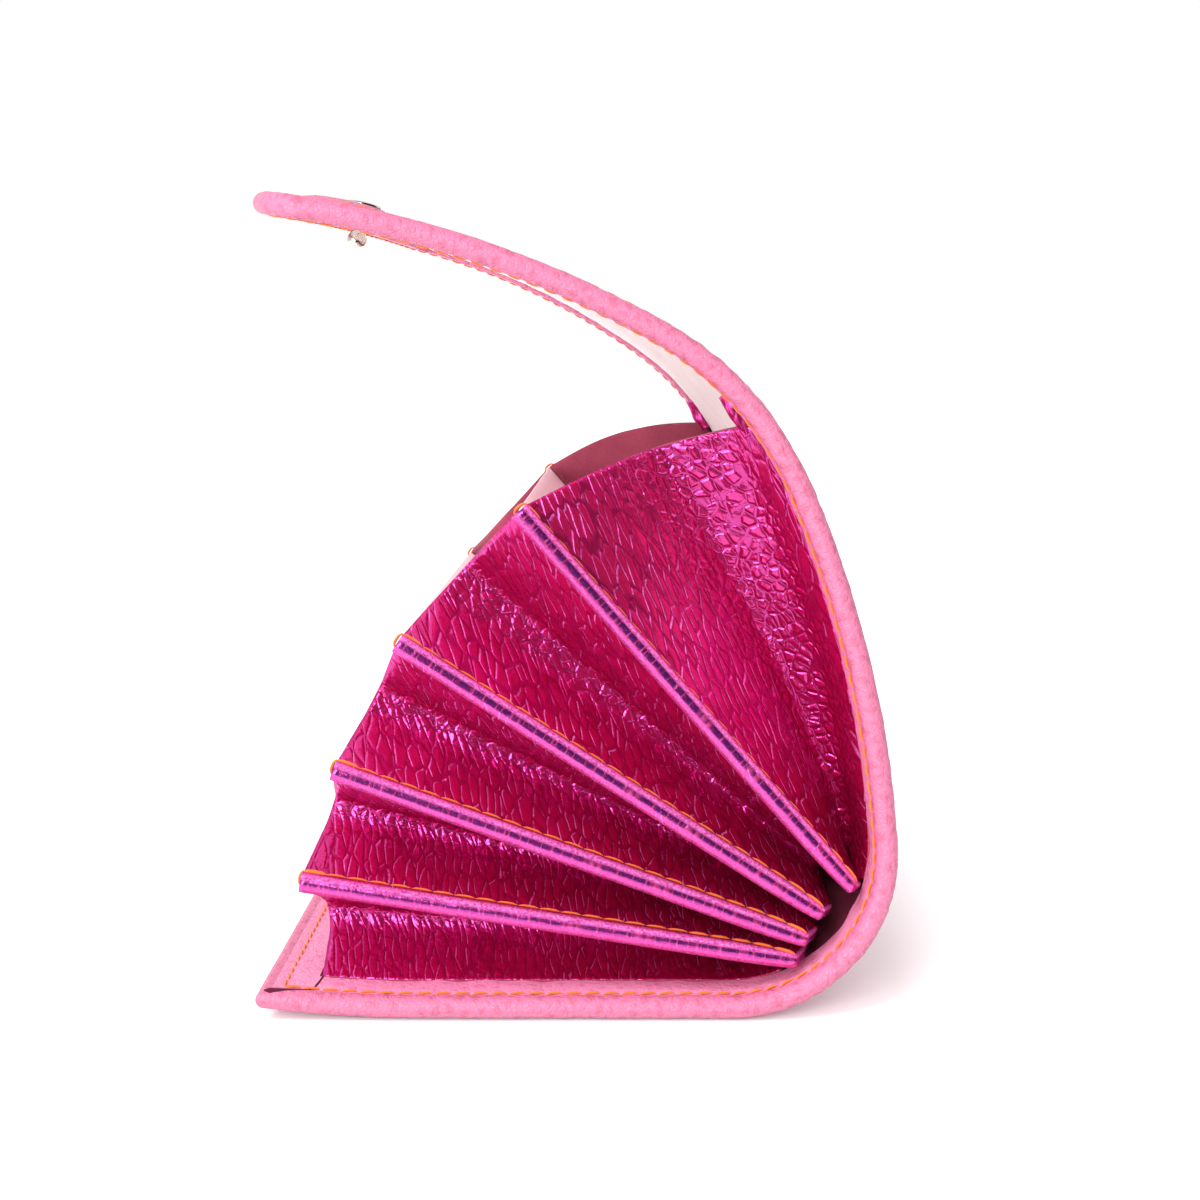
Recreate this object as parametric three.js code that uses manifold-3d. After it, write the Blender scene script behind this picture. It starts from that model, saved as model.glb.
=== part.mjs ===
// Accordion wallet in grained leather, lying on its front panel with the flap standing open.
// Millimetres, +Z up. +X points from the opening to the spine, +Y runs across the wallet's width.
// The origin is on the table, below the middle of the wallet's box.

import * as THREE from 'three';
import { mergeVertices } from 'three/addons/utils/BufferGeometryUtils.js';
import Module from 'manifold-3d';

// Sizes of the leather and of the sewing. The hem is the border that is turned in and sewn down.
const WIDTH = 190;
const SEAM_GAP = 0.3;
const HEM_WIDTH = 10.5;
const HEM_THICK = 4.2;
const HEM_SLOPE = 0.3;
const RIM_ROUND = 1.8;
const RIM_STEP = 0.5;
const PANEL_THICK = 3.0;
const BACK_THICK = 1.6;
const LINING_THICK = 1.1;
const LEAF_THICK = 1.0;

// The cover is one strip, followed from the lip of the front panel over the spine to the flap.
// Each row bends evenly: its length, how far it turns, how much of that the far end lacks, and its steps.
const COVER_BENDS = [
  { stretch: 'front panel', length: 88.5, turn: 0, twist: 0, steps: 2 },
  { stretch: 'spine', length: 50.7, turn: 94.5, twist: 0, steps: 9 },
  { stretch: 'back panel', length: 68.8, turn: 19.4, twist: 0, steps: 4 },
  { stretch: 'flap fold', length: 41.3, turn: 37.9, twist: 6.8, steps: 6 },
  { stretch: 'flap', length: 73.2, turn: 21.2, twist: 0, steps: 1 },
];
const TWIST_EASE = 1.5;
const FLAP_BULGE = 17;
const FLAP_CORNER = 7;
const FLAP_ROWS_FROM_END = [55, 36, 25.5];
const COLUMNS_ACROSS = [-52, -20, -10, 0, 10, 20, 52];

// The dividers fan out from the spine. Each row: where its inner end lies from the lip, and how it rises.
const DIVIDER_LENGTH = 93.5;
const DIVIDERS = [
  { name: 'divider_1', innerX: 100.4, innerZ: 10.2, rise: 9.3 },
  { name: 'divider_2', innerX: 102.3, innerZ: 14.3, rise: 20.2 },
  { name: 'divider_3', innerX: 105.1, innerZ: 19.4, rise: 33.1 },
  { name: 'divider_4', innerX: 111.0, innerZ: 24.5, rise: 48.7 },
];
// Their side edges are skived thin, and a short foot at the inner end closes each pocket.
const DIVIDER_EDGE = HEM_WIDTH + SEAM_GAP;
const SKIVE_WIDTH = 11.5;
const SKIVE_THICK = 0.5;
const FOOT_OVERRUN = 1.6;
const FOOT_CLEAR = 1.2;
const FOOT_BEND = 1;

// The gussets: a pinched pleat holds each divider, and between pleats the strip folds inward.
const PLEAT_SETBACK = 3;
const PLEAT_TALL = 4;
const PLEAT_THICK = 2.8;
const PLEAT_SHOULDER = 0.85;
const PLEAT_NOTCH = 0.4;
const PLEAT_STEPS = 4;
// leaf is the depth of a fold pressed flat, crease its place between the two pleats.
const FOLDS = [
  { pocket: 1, leaf: 23, crease: 0.5 },
  { pocket: 2, leaf: 23, crease: 0.5 },
  { pocket: 3, leaf: 23, crease: 0.5 },
  { pocket: 4, leaf: 23, crease: 0.5 },
  { pocket: 5, leaf: 25, crease: 0.58 },
];
const SHALLOWEST_FOLD = 8;
const FOLD_GAP = 0.3;
const GUSSET_ON_FRONT = { open: 10.8, inner: 100.6 };
const GUSSET_ON_BACK = { open: 223, inner: 129 };
const GUSSET_STATIONS = 8;
const LEAF_STEPS = 3;

// The press stud on the flap, and its socket in the front panel
const SNAP_SETBACK = 17.5;
const PATCH = { fromEnd: 13.5, rise: 2, halfLength: 12, halfWidth: 13 };
const CAP = { radius: 4, rim: 0.6, dome: 1.1 };
const SHANK = { radius: 1.4, hole: 1.7 };
const STUD = { flange: 4, flangeThick: 0.7, neck: 1.8, ball: 2.2, tall: 4.4 };
const SOCKET = { fromLip: 49, radius: 5.3, bore: 2.6, tall: 1.1, lift: 0.2, hole: 5.6, deep: 1.6 };
const DRILL_REACH = 12;
const ROUND_SIDES = 20;
const DOME_STEPS = 3;

// The wallet's leather, suede and metal
const COVER_LEATHER = { color: 0xf58fba, roughness: 0.5, metalness: 0 };
const DIVIDER_LEATHER = { color: 0xf2a3c1, roughness: 0.55, metalness: 0 };
const GUSSET_LEATHER = { color: 0xb3145f, roughness: 0.35, metalness: 0.5 };
const LINING_SUEDE = { color: 0xf1d8dc, roughness: 0.95, metalness: 0 };
const SNAP_METAL = { color: 0xb9b4ad, roughness: 0.25, metalness: 1 };

const wasm = await Module();
wasm.setup();

// A closed mesh whose faces point out, as a solid that can be cut.
function solidOf(geometry) {
  const bare = geometry.clone();
  bare.deleteAttribute('normal');
  bare.deleteAttribute('uv');
  const merged = mergeVertices(bare, 1e-4);
  const vertProperties = new Float32Array(merged.getAttribute('position').array);
  const triVerts = new Uint32Array(merged.index.array);
  return new wasm.Manifold(new wasm.Mesh({ numProp: 3, vertProperties, triVerts }));
}

function cut(geometry, ...tools) {
  let solid = solidOf(geometry);
  for (const tool of tools) {
    solid = solid.subtract(solidOf(tool));
  }
  const mesh = solid.getMesh();
  const result = new THREE.BufferGeometry();
  result.setAttribute('position', new THREE.BufferAttribute(mesh.vertProperties, 3));
  result.setIndex(new THREE.BufferAttribute(mesh.triVerts, 1));
  return result;
}

// Turns a closed mesh the right way out, whichever hand its grids were made with.
function facingOut(geometry) {
  const at = geometry.getAttribute('position');
  const index = geometry.index.array;
  const [a, b, c] = [new THREE.Vector3(), new THREE.Vector3(), new THREE.Vector3()];
  let volume = 0;
  for (let i = 0; i < index.length; i += 3) {
    a.fromBufferAttribute(at, index[i]);
    b.fromBufferAttribute(at, index[i + 1]);
    c.fromBufferAttribute(at, index[i + 2]);
    volume += a.dot(b.cross(c));
  }
  if (volume < 0) {
    geometry.setIndex(Array.from(index).reverse());
  }
  return geometry;
}

// A leather sheet: two matched grids of points, its two faces, closed round the border.
function sheet(upper, lower) {
  const lastRow = upper.length - 1;
  const lastCol = upper[0].length - 1;
  const points = [...upper.flat(), ...lower.flat()];
  const index = [];
  const at = (face, row, col) => (face * (lastRow + 1) + row) * (lastCol + 1) + col;
  const quad = (a, b, c, d) => index.push(a, b, c, a, c, d);
  for (let row = 0; row < lastRow; row += 1) {
    for (let col = 0; col < lastCol; col += 1) {
      quad(at(0, row, col), at(0, row, col + 1), at(0, row + 1, col + 1), at(0, row + 1, col));
      quad(at(1, row, col), at(1, row + 1, col), at(1, row + 1, col + 1), at(1, row, col + 1));
    }
    quad(at(0, row, 0), at(0, row + 1, 0), at(1, row + 1, 0), at(1, row, 0));
    quad(at(0, row + 1, lastCol), at(0, row, lastCol), at(1, row, lastCol), at(1, row + 1, lastCol));
  }
  for (let col = 0; col < lastCol; col += 1) {
    quad(at(0, 0, col + 1), at(0, 0, col), at(1, 0, col), at(1, 0, col + 1));
    quad(at(0, lastRow, col), at(0, lastRow, col + 1), at(1, lastRow, col + 1), at(1, lastRow, col));
  }
  const geometry = new THREE.BufferGeometry().setFromPoints(points);
  geometry.setIndex(index);
  return facingOut(geometry);
}

// The two sides of a strip of even thickness along a bent line, as pairs of flat points.
function thickened(line, thick) {
  return line.map((point, i) => {
    const before = line[Math.max(i - 1, 0)];
    const after = line[Math.min(i + 1, line.length - 1)];
    const into = point.clone().sub(before).normalize();
    const out = after.clone().sub(point).normalize();
    const along = into.clone().add(out).normalize();
    const across = new THREE.Vector2(-along.y, along.x);
    const single = into.lengthSq() > 0 ? into : out;
    const spread = thick / 2 / Math.abs(single.cross(across));
    return {
      left: point.clone().addScaledVector(across, spread),
      right: point.clone().addScaledVector(across, -spread),
    };
  });
}

// Where the cover's outer face is, this far along from the lip, and which way the strip runs there.
function coverStation(along, across) {
  const place = { x: 0, z: 0, heading: 0 };
  const untwisted = Math.pow(THREE.MathUtils.clamp(0.5 - across / WIDTH, 0, 1), TWIST_EASE);
  let left = along;
  for (const bend of COVER_BENDS) {
    const span = bend.stretch === 'flap' ? left : Math.min(left, bend.length);
    const turn = THREE.MathUtils.degToRad(bend.turn - bend.twist * (1 - untwisted));
    const swing = (turn * span) / bend.length;
    const chord = swing === 0 ? span : (span * Math.sin(swing / 2)) / (swing / 2);
    place.x += chord * Math.cos(place.heading + swing / 2);
    place.z += chord * Math.sin(place.heading + swing / 2);
    place.heading += swing;
    left -= span;
  }
  return place;
}

// A point on the cover: along the strip, this deep under its outer face, and across the width.
function coverPoint(along, depth, across) {
  const { x, z, heading } = coverStation(along, across);
  return new THREE.Vector3(x - depth * Math.sin(heading), across, z + depth * Math.cos(heading));
}

const FLAP_START = COVER_BENDS.slice(0, -1).reduce((sum, bend) => sum + bend.length, 0);
const FLAP_SIDE_END = FLAP_START + COVER_BENDS.at(-1).length;

// The flap's front edge bows out in the middle and is rounded at its two corners.
function flapEnd(across) {
  const bow = FLAP_BULGE * (1 - Math.pow((2 * across) / WIDTH, 2));
  const intoCorner = Math.max(0, Math.abs(across) - (WIDTH / 2 - FLAP_CORNER));
  const corner = FLAP_CORNER - Math.sqrt(FLAP_CORNER * FLAP_CORNER - intoCorner * intoCorner);
  return FLAP_SIDE_END + bow - corner;
}

const SNAP_ALONG = flapEnd(0) - SNAP_SETBACK;

// The leather stands up in a soft oval round the snap.
function patchRise(along, across) {
  const u = (along - flapEnd(0) + PATCH.fromEnd) / PATCH.halfLength;
  const v = across / PATCH.halfWidth;
  const inside = Math.max(0, 1 - u * u - v * v);
  return PATCH.rise * inside * (2 - inside);
}

// The spine's middle in the side view: pockets close along its radii.
const SPINE = COVER_BENDS.find((bend) => bend.stretch === 'spine');
const SPINE_START = COVER_BENDS[0].length;
const SPINE_RADIUS = SPINE.length / THREE.MathUtils.degToRad(SPINE.turn);
const SPINE_CENTRE = new THREE.Vector2(SPINE_START, SPINE_RADIUS);

function alongSpine(point) {
  const from = point.clone().sub(SPINE_CENTRE);
  return SPINE_START + SPINE_RADIUS * Math.atan2(from.x, -from.y);
}

function depthInSpine(point) {
  return SPINE_RADIUS - point.distanceTo(SPINE_CENTRE);
}

// A divider in the side view: the point this share of the way from its open end to its inner end.
function dividerPoint(divider, share) {
  const rise = THREE.MathUtils.degToRad(divider.rise);
  const back = DIVIDER_LENGTH * (1 - share);
  return new THREE.Vector2(divider.innerX - back * Math.cos(rise), divider.innerZ + back * Math.sin(rise));
}

const OVERRUN_SHARE = 1 + FOOT_OVERRUN / DIVIDER_LENGTH;
const dividerEnd = (divider) => dividerPoint(divider, OVERRUN_SHARE);

const LINING_DEPTH = BACK_THICK + SEAM_GAP + LINING_THICK / 2;
const LINING_FOOT = alongSpine(dividerEnd(DIVIDERS.at(-1)));
const LINING_START = LINING_FOOT - LINING_THICK / 2 - SEAM_GAP;

const BORDER = [0, RIM_STEP, RIM_ROUND, HEM_WIDTH - HEM_SLOPE, HEM_WIDTH];

// The round edge of the hem: how far either face draws back this close to the rim.
function rimInset(edge) {
  const reach = Math.max(0, RIM_ROUND - edge);
  return RIM_ROUND - Math.sqrt(RIM_ROUND * RIM_ROUND - reach * reach);
}

function coverRows() {
  const bends = COVER_BENDS.slice(0, -1);
  const stops = [LINING_START - HEM_SLOPE, LINING_START];
  let start = 0;
  for (const bend of bends) {
    for (let step = 1; step <= bend.steps; step += 1) {
      stops.push(start + (bend.length * step) / bend.steps);
    }
    start += bend.length;
  }
  stops.sort((a, b) => a - b);
  const lip = BORDER.map((edge) => ({ along: () => edge, edge }));
  const body = stops.map((stop) => ({ along: () => stop, edge: Infinity }));
  const inner = [...FLAP_ROWS_FROM_END, SNAP_SETBACK].map((back) => ({
    along: (across) => flapEnd(across) - back,
    edge: Infinity,
  }));
  const end = BORDER.toReversed().map((edge) => ({ along: (across) => flapEnd(across) - edge, edge }));
  return [...lip, ...body, ...inner, ...end];
}

function coverColumns() {
  const near = BORDER.map((edge) => ({ across: edge - WIDTH / 2, edge }));
  const middle = COLUMNS_ACROSS.map((across) => ({ across, edge: Infinity }));
  const far = BORDER.toReversed().map((edge) => ({ across: WIDTH / 2 - edge, edge }));
  return [...near, ...middle, ...far];
}

function coverGeometry() {
  const face = (depthAt) => coverRows().map((row) => coverColumns().map((column) => {
    const along = row.along(column.across);
    const edge = Math.min(row.edge, column.edge);
    return coverPoint(along, depthAt(along, column.across, edge), column.across);
  }));
  const thickness = (along, edge) => {
    if (edge < HEM_WIDTH) {
      return HEM_THICK;
    }
    return along < LINING_START ? PANEL_THICK : BACK_THICK;
  };
  const outer = face((along, across, edge) => rimInset(edge) - patchRise(along, across));
  const inner = face((along, across, edge) => thickness(along, edge) - rimInset(edge));
  return sheet(outer, inner);
}

// The lining covers the inside of the back panel and flap, and its foot closes the last pocket.
function liningGeometry() {
  const tip = depthInSpine(dividerEnd(DIVIDERS.at(-1))) - LEAF_THICK / 2 - SEAM_GAP;
  const columns = [HEM_WIDTH + SEAM_GAP - WIDTH / 2, ...COLUMNS_ACROSS, WIDTH / 2 - HEM_WIDTH - SEAM_GAP];
  const stops = coverRows().filter((row) => row.edge === Infinity);
  const line = (across) => {
    const last = flapEnd(across) - HEM_WIDTH - SEAM_GAP;
    const start = LINING_FOOT + FOOT_BEND;
    const laid = stops.map((row) => row.along(across)).filter((along) => along > start + FOOT_BEND);
    return [
      new THREE.Vector2(LINING_FOOT, tip),
      new THREE.Vector2(LINING_FOOT, LINING_DEPTH + FOOT_BEND),
      ...[start, ...laid, last].map((along) => new THREE.Vector2(along, LINING_DEPTH)),
    ];
  };
  const face = (side) => columns.map((across) => thickened(line(across), LINING_THICK)
    .map((pair) => coverPoint(pair[side].x, pair[side].y, across)));
  return sheet(face('left'), face('right'));
}

// The spot on the spine's inner face that faces a divider's end, lowered by the clearance kept there.
function spineSeat(end) {
  const spot = coverPoint(alongSpine(end), PANEL_THICK + SEAM_GAP - FOOT_CLEAR, 0);
  return new THREE.Vector2(spot.x, spot.z);
}

// A divider leaf, skived thin where it is sewn into the pleats, with a foot that closes its pocket.
function dividerGeometry(divider, below) {
  const end = dividerEnd(divider);
  const seat = below ? dividerEnd(below) : spineSeat(end);
  const toSeat = seat.clone().sub(end);
  const tip = end.clone().addScaledVector(toSeat, 1 - FOOT_CLEAR / toSeat.length());
  const turnIn = dividerPoint(divider, OVERRUN_SHARE - FOOT_BEND / DIVIDER_LENGTH);
  const turnOut = end.clone().addScaledVector(toSeat, FOOT_BEND / toSeat.length());
  const line = [dividerPoint(divider, 0), turnIn, turnOut, tip];
  const near = DIVIDER_EDGE - WIDTH / 2;
  const columns = [
    { across: near, thick: SKIVE_THICK },
    { across: near + SKIVE_WIDTH, thick: LEAF_THICK },
    { across: -near - SKIVE_WIDTH, thick: LEAF_THICK },
    { across: -near, thick: SKIVE_THICK },
  ];
  const face = (side) => columns.map((column) => thickened(line, column.thick)
    .map((pair) => new THREE.Vector3(pair[side].x, column.across, pair[side].y)));
  return sheet(face('left'), face('right'));
}

// The six lines that a gusset is hung on, in the side view: front panel, four dividers, back panel.
function gussetLines(share) {
  const depth = PANEL_THICK + SEAM_GAP + LEAF_THICK / 2;
  const onCover = (range) => {
    const spot = coverPoint(THREE.MathUtils.lerp(range.open, range.inner, share), depth, 0);
    return new THREE.Vector2(spot.x, spot.z);
  };
  const ribs = DIVIDERS.map((divider) => dividerPoint(divider, share));
  return [onCover(GUSSET_ON_FRONT), ...ribs, onCover(GUSSET_ON_BACK)];
}

// One leaf of a fold, from its seam to the crease: matched points on its outer and pocket side.
function leafPoints(seam, crease, hand) {
  const run = crease.clone().sub(seam).normalize();
  const outward = new THREE.Vector2(hand * run.y, -hand * run.x);
  return Array.from({ length: LEAF_STEPS + 1 }, (_, step) => {
    const spot = seam.clone().lerp(crease, step / LEAF_STEPS);
    return {
      outer: spot.clone().addScaledVector(outward, LEAF_THICK / 2),
      inner: spot.clone().addScaledVector(outward, -LEAF_THICK / 2),
    };
  });
}

// One fold between two lines of the gusset, in a frame of its own: x from line to line, y into the wallet.
function foldPoints(fold, gap, first, last) {
  const seamIn = HEM_WIDTH + SEAM_GAP;
  const base = PLEAT_SETBACK + PLEAT_TALL;
  const wall = (PLEAT_THICK - LEAF_THICK) / 2;
  const low = first ? new THREE.Vector2(0, seamIn) : new THREE.Vector2(wall, base);
  const high = last ? new THREE.Vector2(gap, seamIn) : new THREE.Vector2(gap - wall, base);
  const half = (high.x - low.x) / 2;
  const deep = Math.sqrt(Math.max(fold.leaf * fold.leaf - half * half, SHALLOWEST_FOLD * SHALLOWEST_FOLD));
  const middle = new THREE.Vector2(THREE.MathUtils.lerp(low.x, high.x, fold.crease), base + deep);
  const apart = new THREE.Vector2((LEAF_THICK + FOLD_GAP) / 2, 0);
  const floor = {
    outer: middle.clone(),
    inner: middle.clone().add(new THREE.Vector2(0, LEAF_THICK)),
  };
  const rising = leafPoints(low, middle.clone().sub(apart), 1);
  const falling = leafPoints(high, middle.clone().add(apart), -1).reverse();
  return [...rising, floor, ...falling];
}

// A pleat's outer face runs round its folded edge, and its inner face is a small notch behind it.
function pleatPoints() {
  const back = PLEAT_SETBACK + PLEAT_TALL - PLEAT_NOTCH;
  return Array.from({ length: PLEAT_STEPS + 1 }, (_, step) => {
    const turn = (Math.PI * step) / PLEAT_STEPS;
    const side = -Math.cos(turn);
    const front = PLEAT_SETBACK + PLEAT_SHOULDER * (1 - Math.sin(turn));
    return {
      outer: new THREE.Vector2((side * PLEAT_THICK) / 2, front),
      inner: new THREE.Vector2(side * PLEAT_NOTCH, back),
    };
  });
}

// A gusset strip. side is -1 at the near end of the wallet and 1 at the far end.
function gussetGeometry(side) {
  const shares = Array.from({ length: GUSSET_STATIONS }, (_, i) => i / (GUSSET_STATIONS - 1));
  const face = (which) => shares.map((share) => {
    const lines = gussetLines(share);
    const row = [];
    FOLDS.forEach((fold, i) => {
      const reach = lines[i + 1].clone().sub(lines[i]);
      const towards = reach.clone().normalize();
      const points = foldPoints(fold, reach.length(), i === 0, i === FOLDS.length - 1);
      const place = (pair) => {
        const spot = lines[i].clone().addScaledVector(towards, pair[which].x);
        return new THREE.Vector3(spot.x, side * (WIDTH / 2 - pair[which].y), spot.y);
      };
      row.push(...points.map(place));
      if (i < DIVIDERS.length) {
        const lean = THREE.MathUtils.degToRad(DIVIDERS[i].rise);
        const upward = new THREE.Vector2(Math.sin(lean), Math.cos(lean));
        row.push(...pleatPoints().map((pair) => {
          const spot = lines[i + 1].clone().addScaledVector(upward, pair[which].x);
          return new THREE.Vector3(spot.x, side * (WIDTH / 2 - pair[which].y), spot.y);
        }));
      }
    });
    return row;
  });
  return sheet(face('outer'), face('inner'));
}

// A turned metal piece, its profile given as radius and height, standing along +Z.
function turned(profile) {
  const points = profile.map(([radius, height]) => new THREE.Vector2(radius, height));
  const geometry = new THREE.LatheGeometry(points, ROUND_SIDES).rotateX(Math.PI / 2);
  geometry.deleteAttribute('normal');
  geometry.deleteAttribute('uv');
  return facingOut(mergeVertices(geometry, 1e-4));
}

// Places a turned piece on the flap's snap axis: its +Z points out of the flap, height 0 on the outer face.
function onSnapAxis(geometry) {
  const { x, z, heading } = coverStation(SNAP_ALONG, 0);
  return geometry.rotateY(Math.PI - heading).translate(x, 0, z);
}

// A quarter round, from its widest ring to its pole, as radius and height.
function domeProfile(radius, base, rise) {
  return Array.from({ length: DOME_STEPS + 1 }, (_, step) => {
    const turn = (Math.PI * step) / (2 * DOME_STEPS);
    const ring = step === DOME_STEPS ? 0 : radius * Math.cos(turn);
    return [ring, base + rise * Math.sin(turn)];
  });
}

function snapCapGeometry() {
  const seat = PATCH.rise + SEAM_GAP;
  const shankEnd = -(LINING_DEPTH + LINING_THICK / 2);
  return onSnapAxis(turned([
    [0, shankEnd],
    [SHANK.radius, shankEnd],
    [SHANK.radius, seat],
    [CAP.radius, seat],
    ...domeProfile(CAP.radius, seat + CAP.rim, CAP.dome),
  ]));
}

function snapStudGeometry() {
  const seat = -(LINING_DEPTH + LINING_THICK / 2 + SEAM_GAP);
  const under = seat - STUD.flangeThick;
  const bulge = under - STUD.tall + STUD.ball;
  return onSnapAxis(turned([
    [0, seat],
    [STUD.flange, seat],
    [STUD.flange, under],
    [STUD.neck, under],
    [STUD.neck, bulge + STUD.ball / 2],
    ...domeProfile(STUD.ball, bulge, -STUD.ball),
  ]));
}

function snapSocketGeometry() {
  const top = SOCKET.lift + SOCKET.tall;
  return turned([
    [SOCKET.bore, SOCKET.lift],
    [SOCKET.radius, SOCKET.lift],
    [SOCKET.radius, top],
    [SOCKET.bore, top],
    [SOCKET.bore, SOCKET.lift],
  ]).translate(SOCKET.fromLip, 0, 0);
}

// A plain cylinder along +Z that cuts a round hole.
function drill(radius, low, high) {
  return turned([[0, low], [radius, low], [radius, high], [0, high]]);
}

const rivetHole = () => onSnapAxis(drill(SHANK.hole, -DRILL_REACH, DRILL_REACH));
const socketHole = () => drill(SOCKET.hole, -SOCKET.deep, SOCKET.deep).translate(SOCKET.fromLip, 0, 0);

const wallet = new THREE.Group();

function add(name, geometry, finish) {
  geometry.computeVertexNormals();
  const mesh = new THREE.Mesh(geometry, new THREE.MeshStandardMaterial(finish));
  mesh.name = name;
  wallet.add(mesh);
}

add('cover', cut(coverGeometry(), rivetHole(), socketHole()), COVER_LEATHER);
add('flap_lining', cut(liningGeometry(), rivetHole()), LINING_SUEDE);
DIVIDERS.forEach((divider, i) => {
  add(divider.name, dividerGeometry(divider, DIVIDERS[i - 1]), DIVIDER_LEATHER);
});
add('gusset_near', gussetGeometry(-1), GUSSET_LEATHER);
add('gusset_far', gussetGeometry(1), GUSSET_LEATHER);
add('snap_cap', snapCapGeometry(), SNAP_METAL);
add('snap_stud', snapStudGeometry(), SNAP_METAL);
add('snap_socket', snapSocketGeometry(), SNAP_METAL);

// The origin lies under the middle of the wallet's box.
const box = new THREE.Box3().setFromObject(wallet);
wallet.position.set(-(box.min.x + box.max.x) / 2, -(box.min.y + box.max.y) / 2, -box.min.z);

export default new THREE.Group().add(wallet);
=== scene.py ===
# %% [markdown]
# # An open accordion wallet in leather
# The wallet lies on its front panel with the flap standing open, so its pleated end faces us.
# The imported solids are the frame: they fix where each piece is and how large it is.
# Every soft piece is then made again on top of that frame, with the folds, seams and grain of leather.

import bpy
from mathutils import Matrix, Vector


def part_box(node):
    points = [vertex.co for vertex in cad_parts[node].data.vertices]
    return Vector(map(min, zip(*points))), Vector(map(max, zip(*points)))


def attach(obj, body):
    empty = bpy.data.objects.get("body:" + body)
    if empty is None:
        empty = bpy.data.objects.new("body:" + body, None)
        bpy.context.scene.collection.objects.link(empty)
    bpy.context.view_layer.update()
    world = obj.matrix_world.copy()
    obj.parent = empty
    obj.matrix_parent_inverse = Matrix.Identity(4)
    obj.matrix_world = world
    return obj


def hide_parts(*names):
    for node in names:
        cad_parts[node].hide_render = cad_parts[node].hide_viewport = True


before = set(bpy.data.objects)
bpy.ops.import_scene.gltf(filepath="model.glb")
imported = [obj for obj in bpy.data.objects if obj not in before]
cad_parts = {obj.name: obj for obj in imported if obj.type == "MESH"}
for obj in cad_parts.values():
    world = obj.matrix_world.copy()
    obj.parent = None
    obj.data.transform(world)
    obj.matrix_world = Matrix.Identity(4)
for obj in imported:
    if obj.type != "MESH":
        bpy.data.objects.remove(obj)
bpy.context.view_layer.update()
print("frame nodes:", sorted(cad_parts))

# %% Modules and units
from bisect import bisect
from math import atan2, cos, exp, hypot, pi, radians, sin, sqrt

import bmesh
import bpy
from mathutils import Matrix, Vector, noise

MM = 0.001

# %% [markdown]
# ## How the leather runs
# The cover is one long strip. Followed from the lip of the front panel it runs flat, turns up the
# spine, climbs the back panel and leans over into the flap. A maker cuts it flat, so the script
# keeps two numbers for each point of it, along and across, and bends the strip afterwards.
# A bend of constant turn per millimetre is an arc, so each stretch needs only a length and a turn.
# The far end of the flap leans a little less than the near end, which is the twist.

# %% The bent strip of the cover
WIDTH = 190
COVER_BENDS = [
    # length in mm, turn in degrees, and how much of that turn the far end lacks
    ("front panel", 88.5, 0, 0),
    ("spine", 50.7, 94.5, 0),
    ("back panel", 68.8, 19.4, 0),
    ("flap fold", 41.3, 37.9, 6.8),
    ("flap", 73.2, 21.2, 0),
]
TWIST_EASE = 1.5
LIP_LIFT = 2.0
LIP_LIFT_REACH = 32
FLAP_START = sum(length for _, length, _, _ in COVER_BENDS[:-1])
FLAP_SIDE_END = FLAP_START + COVER_BENDS[-1][1]
FLAP_BULGE = 17
FLAP_CORNER = 7
SOCKET_FROM_LIP = 49

socket_low, socket_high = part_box("snap_socket")
LIP_X = (socket_low.x + socket_high.x) / 2 - SOCKET_FROM_LIP * MM


def cover_station(along, across):
    """Where the cover's outer face is in the side view, and which way the strip runs there."""
    x = z = heading = 0.0
    untwisted = min(max(0.5 - across / WIDTH, 0), 1) ** TWIST_EASE
    left = along
    for stretch, length, turn, twist in COVER_BENDS:
        span = left if stretch == "flap" else min(left, length)
        swing = radians(turn - twist * (1 - untwisted)) * span / length
        chord = span * sin(swing / 2) / (swing / 2) if swing else span
        x += chord * cos(heading + swing / 2)
        z += chord * sin(heading + swing / 2)
        heading += swing
        left -= span
    lift = LIP_LIFT * (max(0, LIP_LIFT_REACH - along) / LIP_LIFT_REACH) ** 2
    return x, z + lift, heading


def in_frame(x, y, z):
    """Millimetres from the lip, as a point of the frame."""
    return Vector((LIP_X + x * MM, y * MM, z * MM))


def cover_point(along, depth, across):
    """A point of the cover: along the strip, this deep under its outer face, across the width."""
    x, z, heading = cover_station(along, across)
    return in_frame(x - depth * sin(heading), across, z + depth * cos(heading))


def flap_end(across):
    """The flap's front edge bows out in the middle and is rounded at its two corners."""
    bow = FLAP_BULGE * (1 - (2 * across / WIDTH) ** 2)
    into_corner = max(0, abs(across) - (WIDTH / 2 - FLAP_CORNER))
    return FLAP_SIDE_END + bow - (FLAP_CORNER - sqrt(FLAP_CORNER ** 2 - into_corner ** 2))


print("flap tip at", [round(c / MM, 1) for c in cover_point(flap_end(0), 0, 0)], "mm")

# %% [markdown]
# ## Helpers for sheets of leather
# Most pieces are sheets. A grid operator makes each of them flat, with its rows and columns set
# closer together where there is a seam, and then every point is moved to its place in the wallet.
# The flat measures stay on the sheet as a UV map in metres, so grain and creases follow the
# leather as they would on a real hide and are not sliced through it.


# %% Flat sheets, and finished pieces
def steps(start, end, pitch):
    """Places from start to end, about a pitch apart, without the last one."""
    count = max(1, round(abs(end - start) / pitch))
    return [start + (end - start) * i / count for i in range(count)]


def flat_sheet(rows, columns):
    """A flat grid whose x is the place along and y the place across, in mm."""
    bm = bmesh.new()
    bmesh.ops.create_grid(bm, x_segments=len(rows) - 1, y_segments=len(columns) - 1, size=1)
    for vert in bm.verts:
        row = round((vert.co.x + 1) / 2 * (len(rows) - 1))
        column = round((vert.co.y + 1) / 2 * (len(columns) - 1))
        vert.co = (rows[row], columns[column], 0)
    return bm


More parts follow.
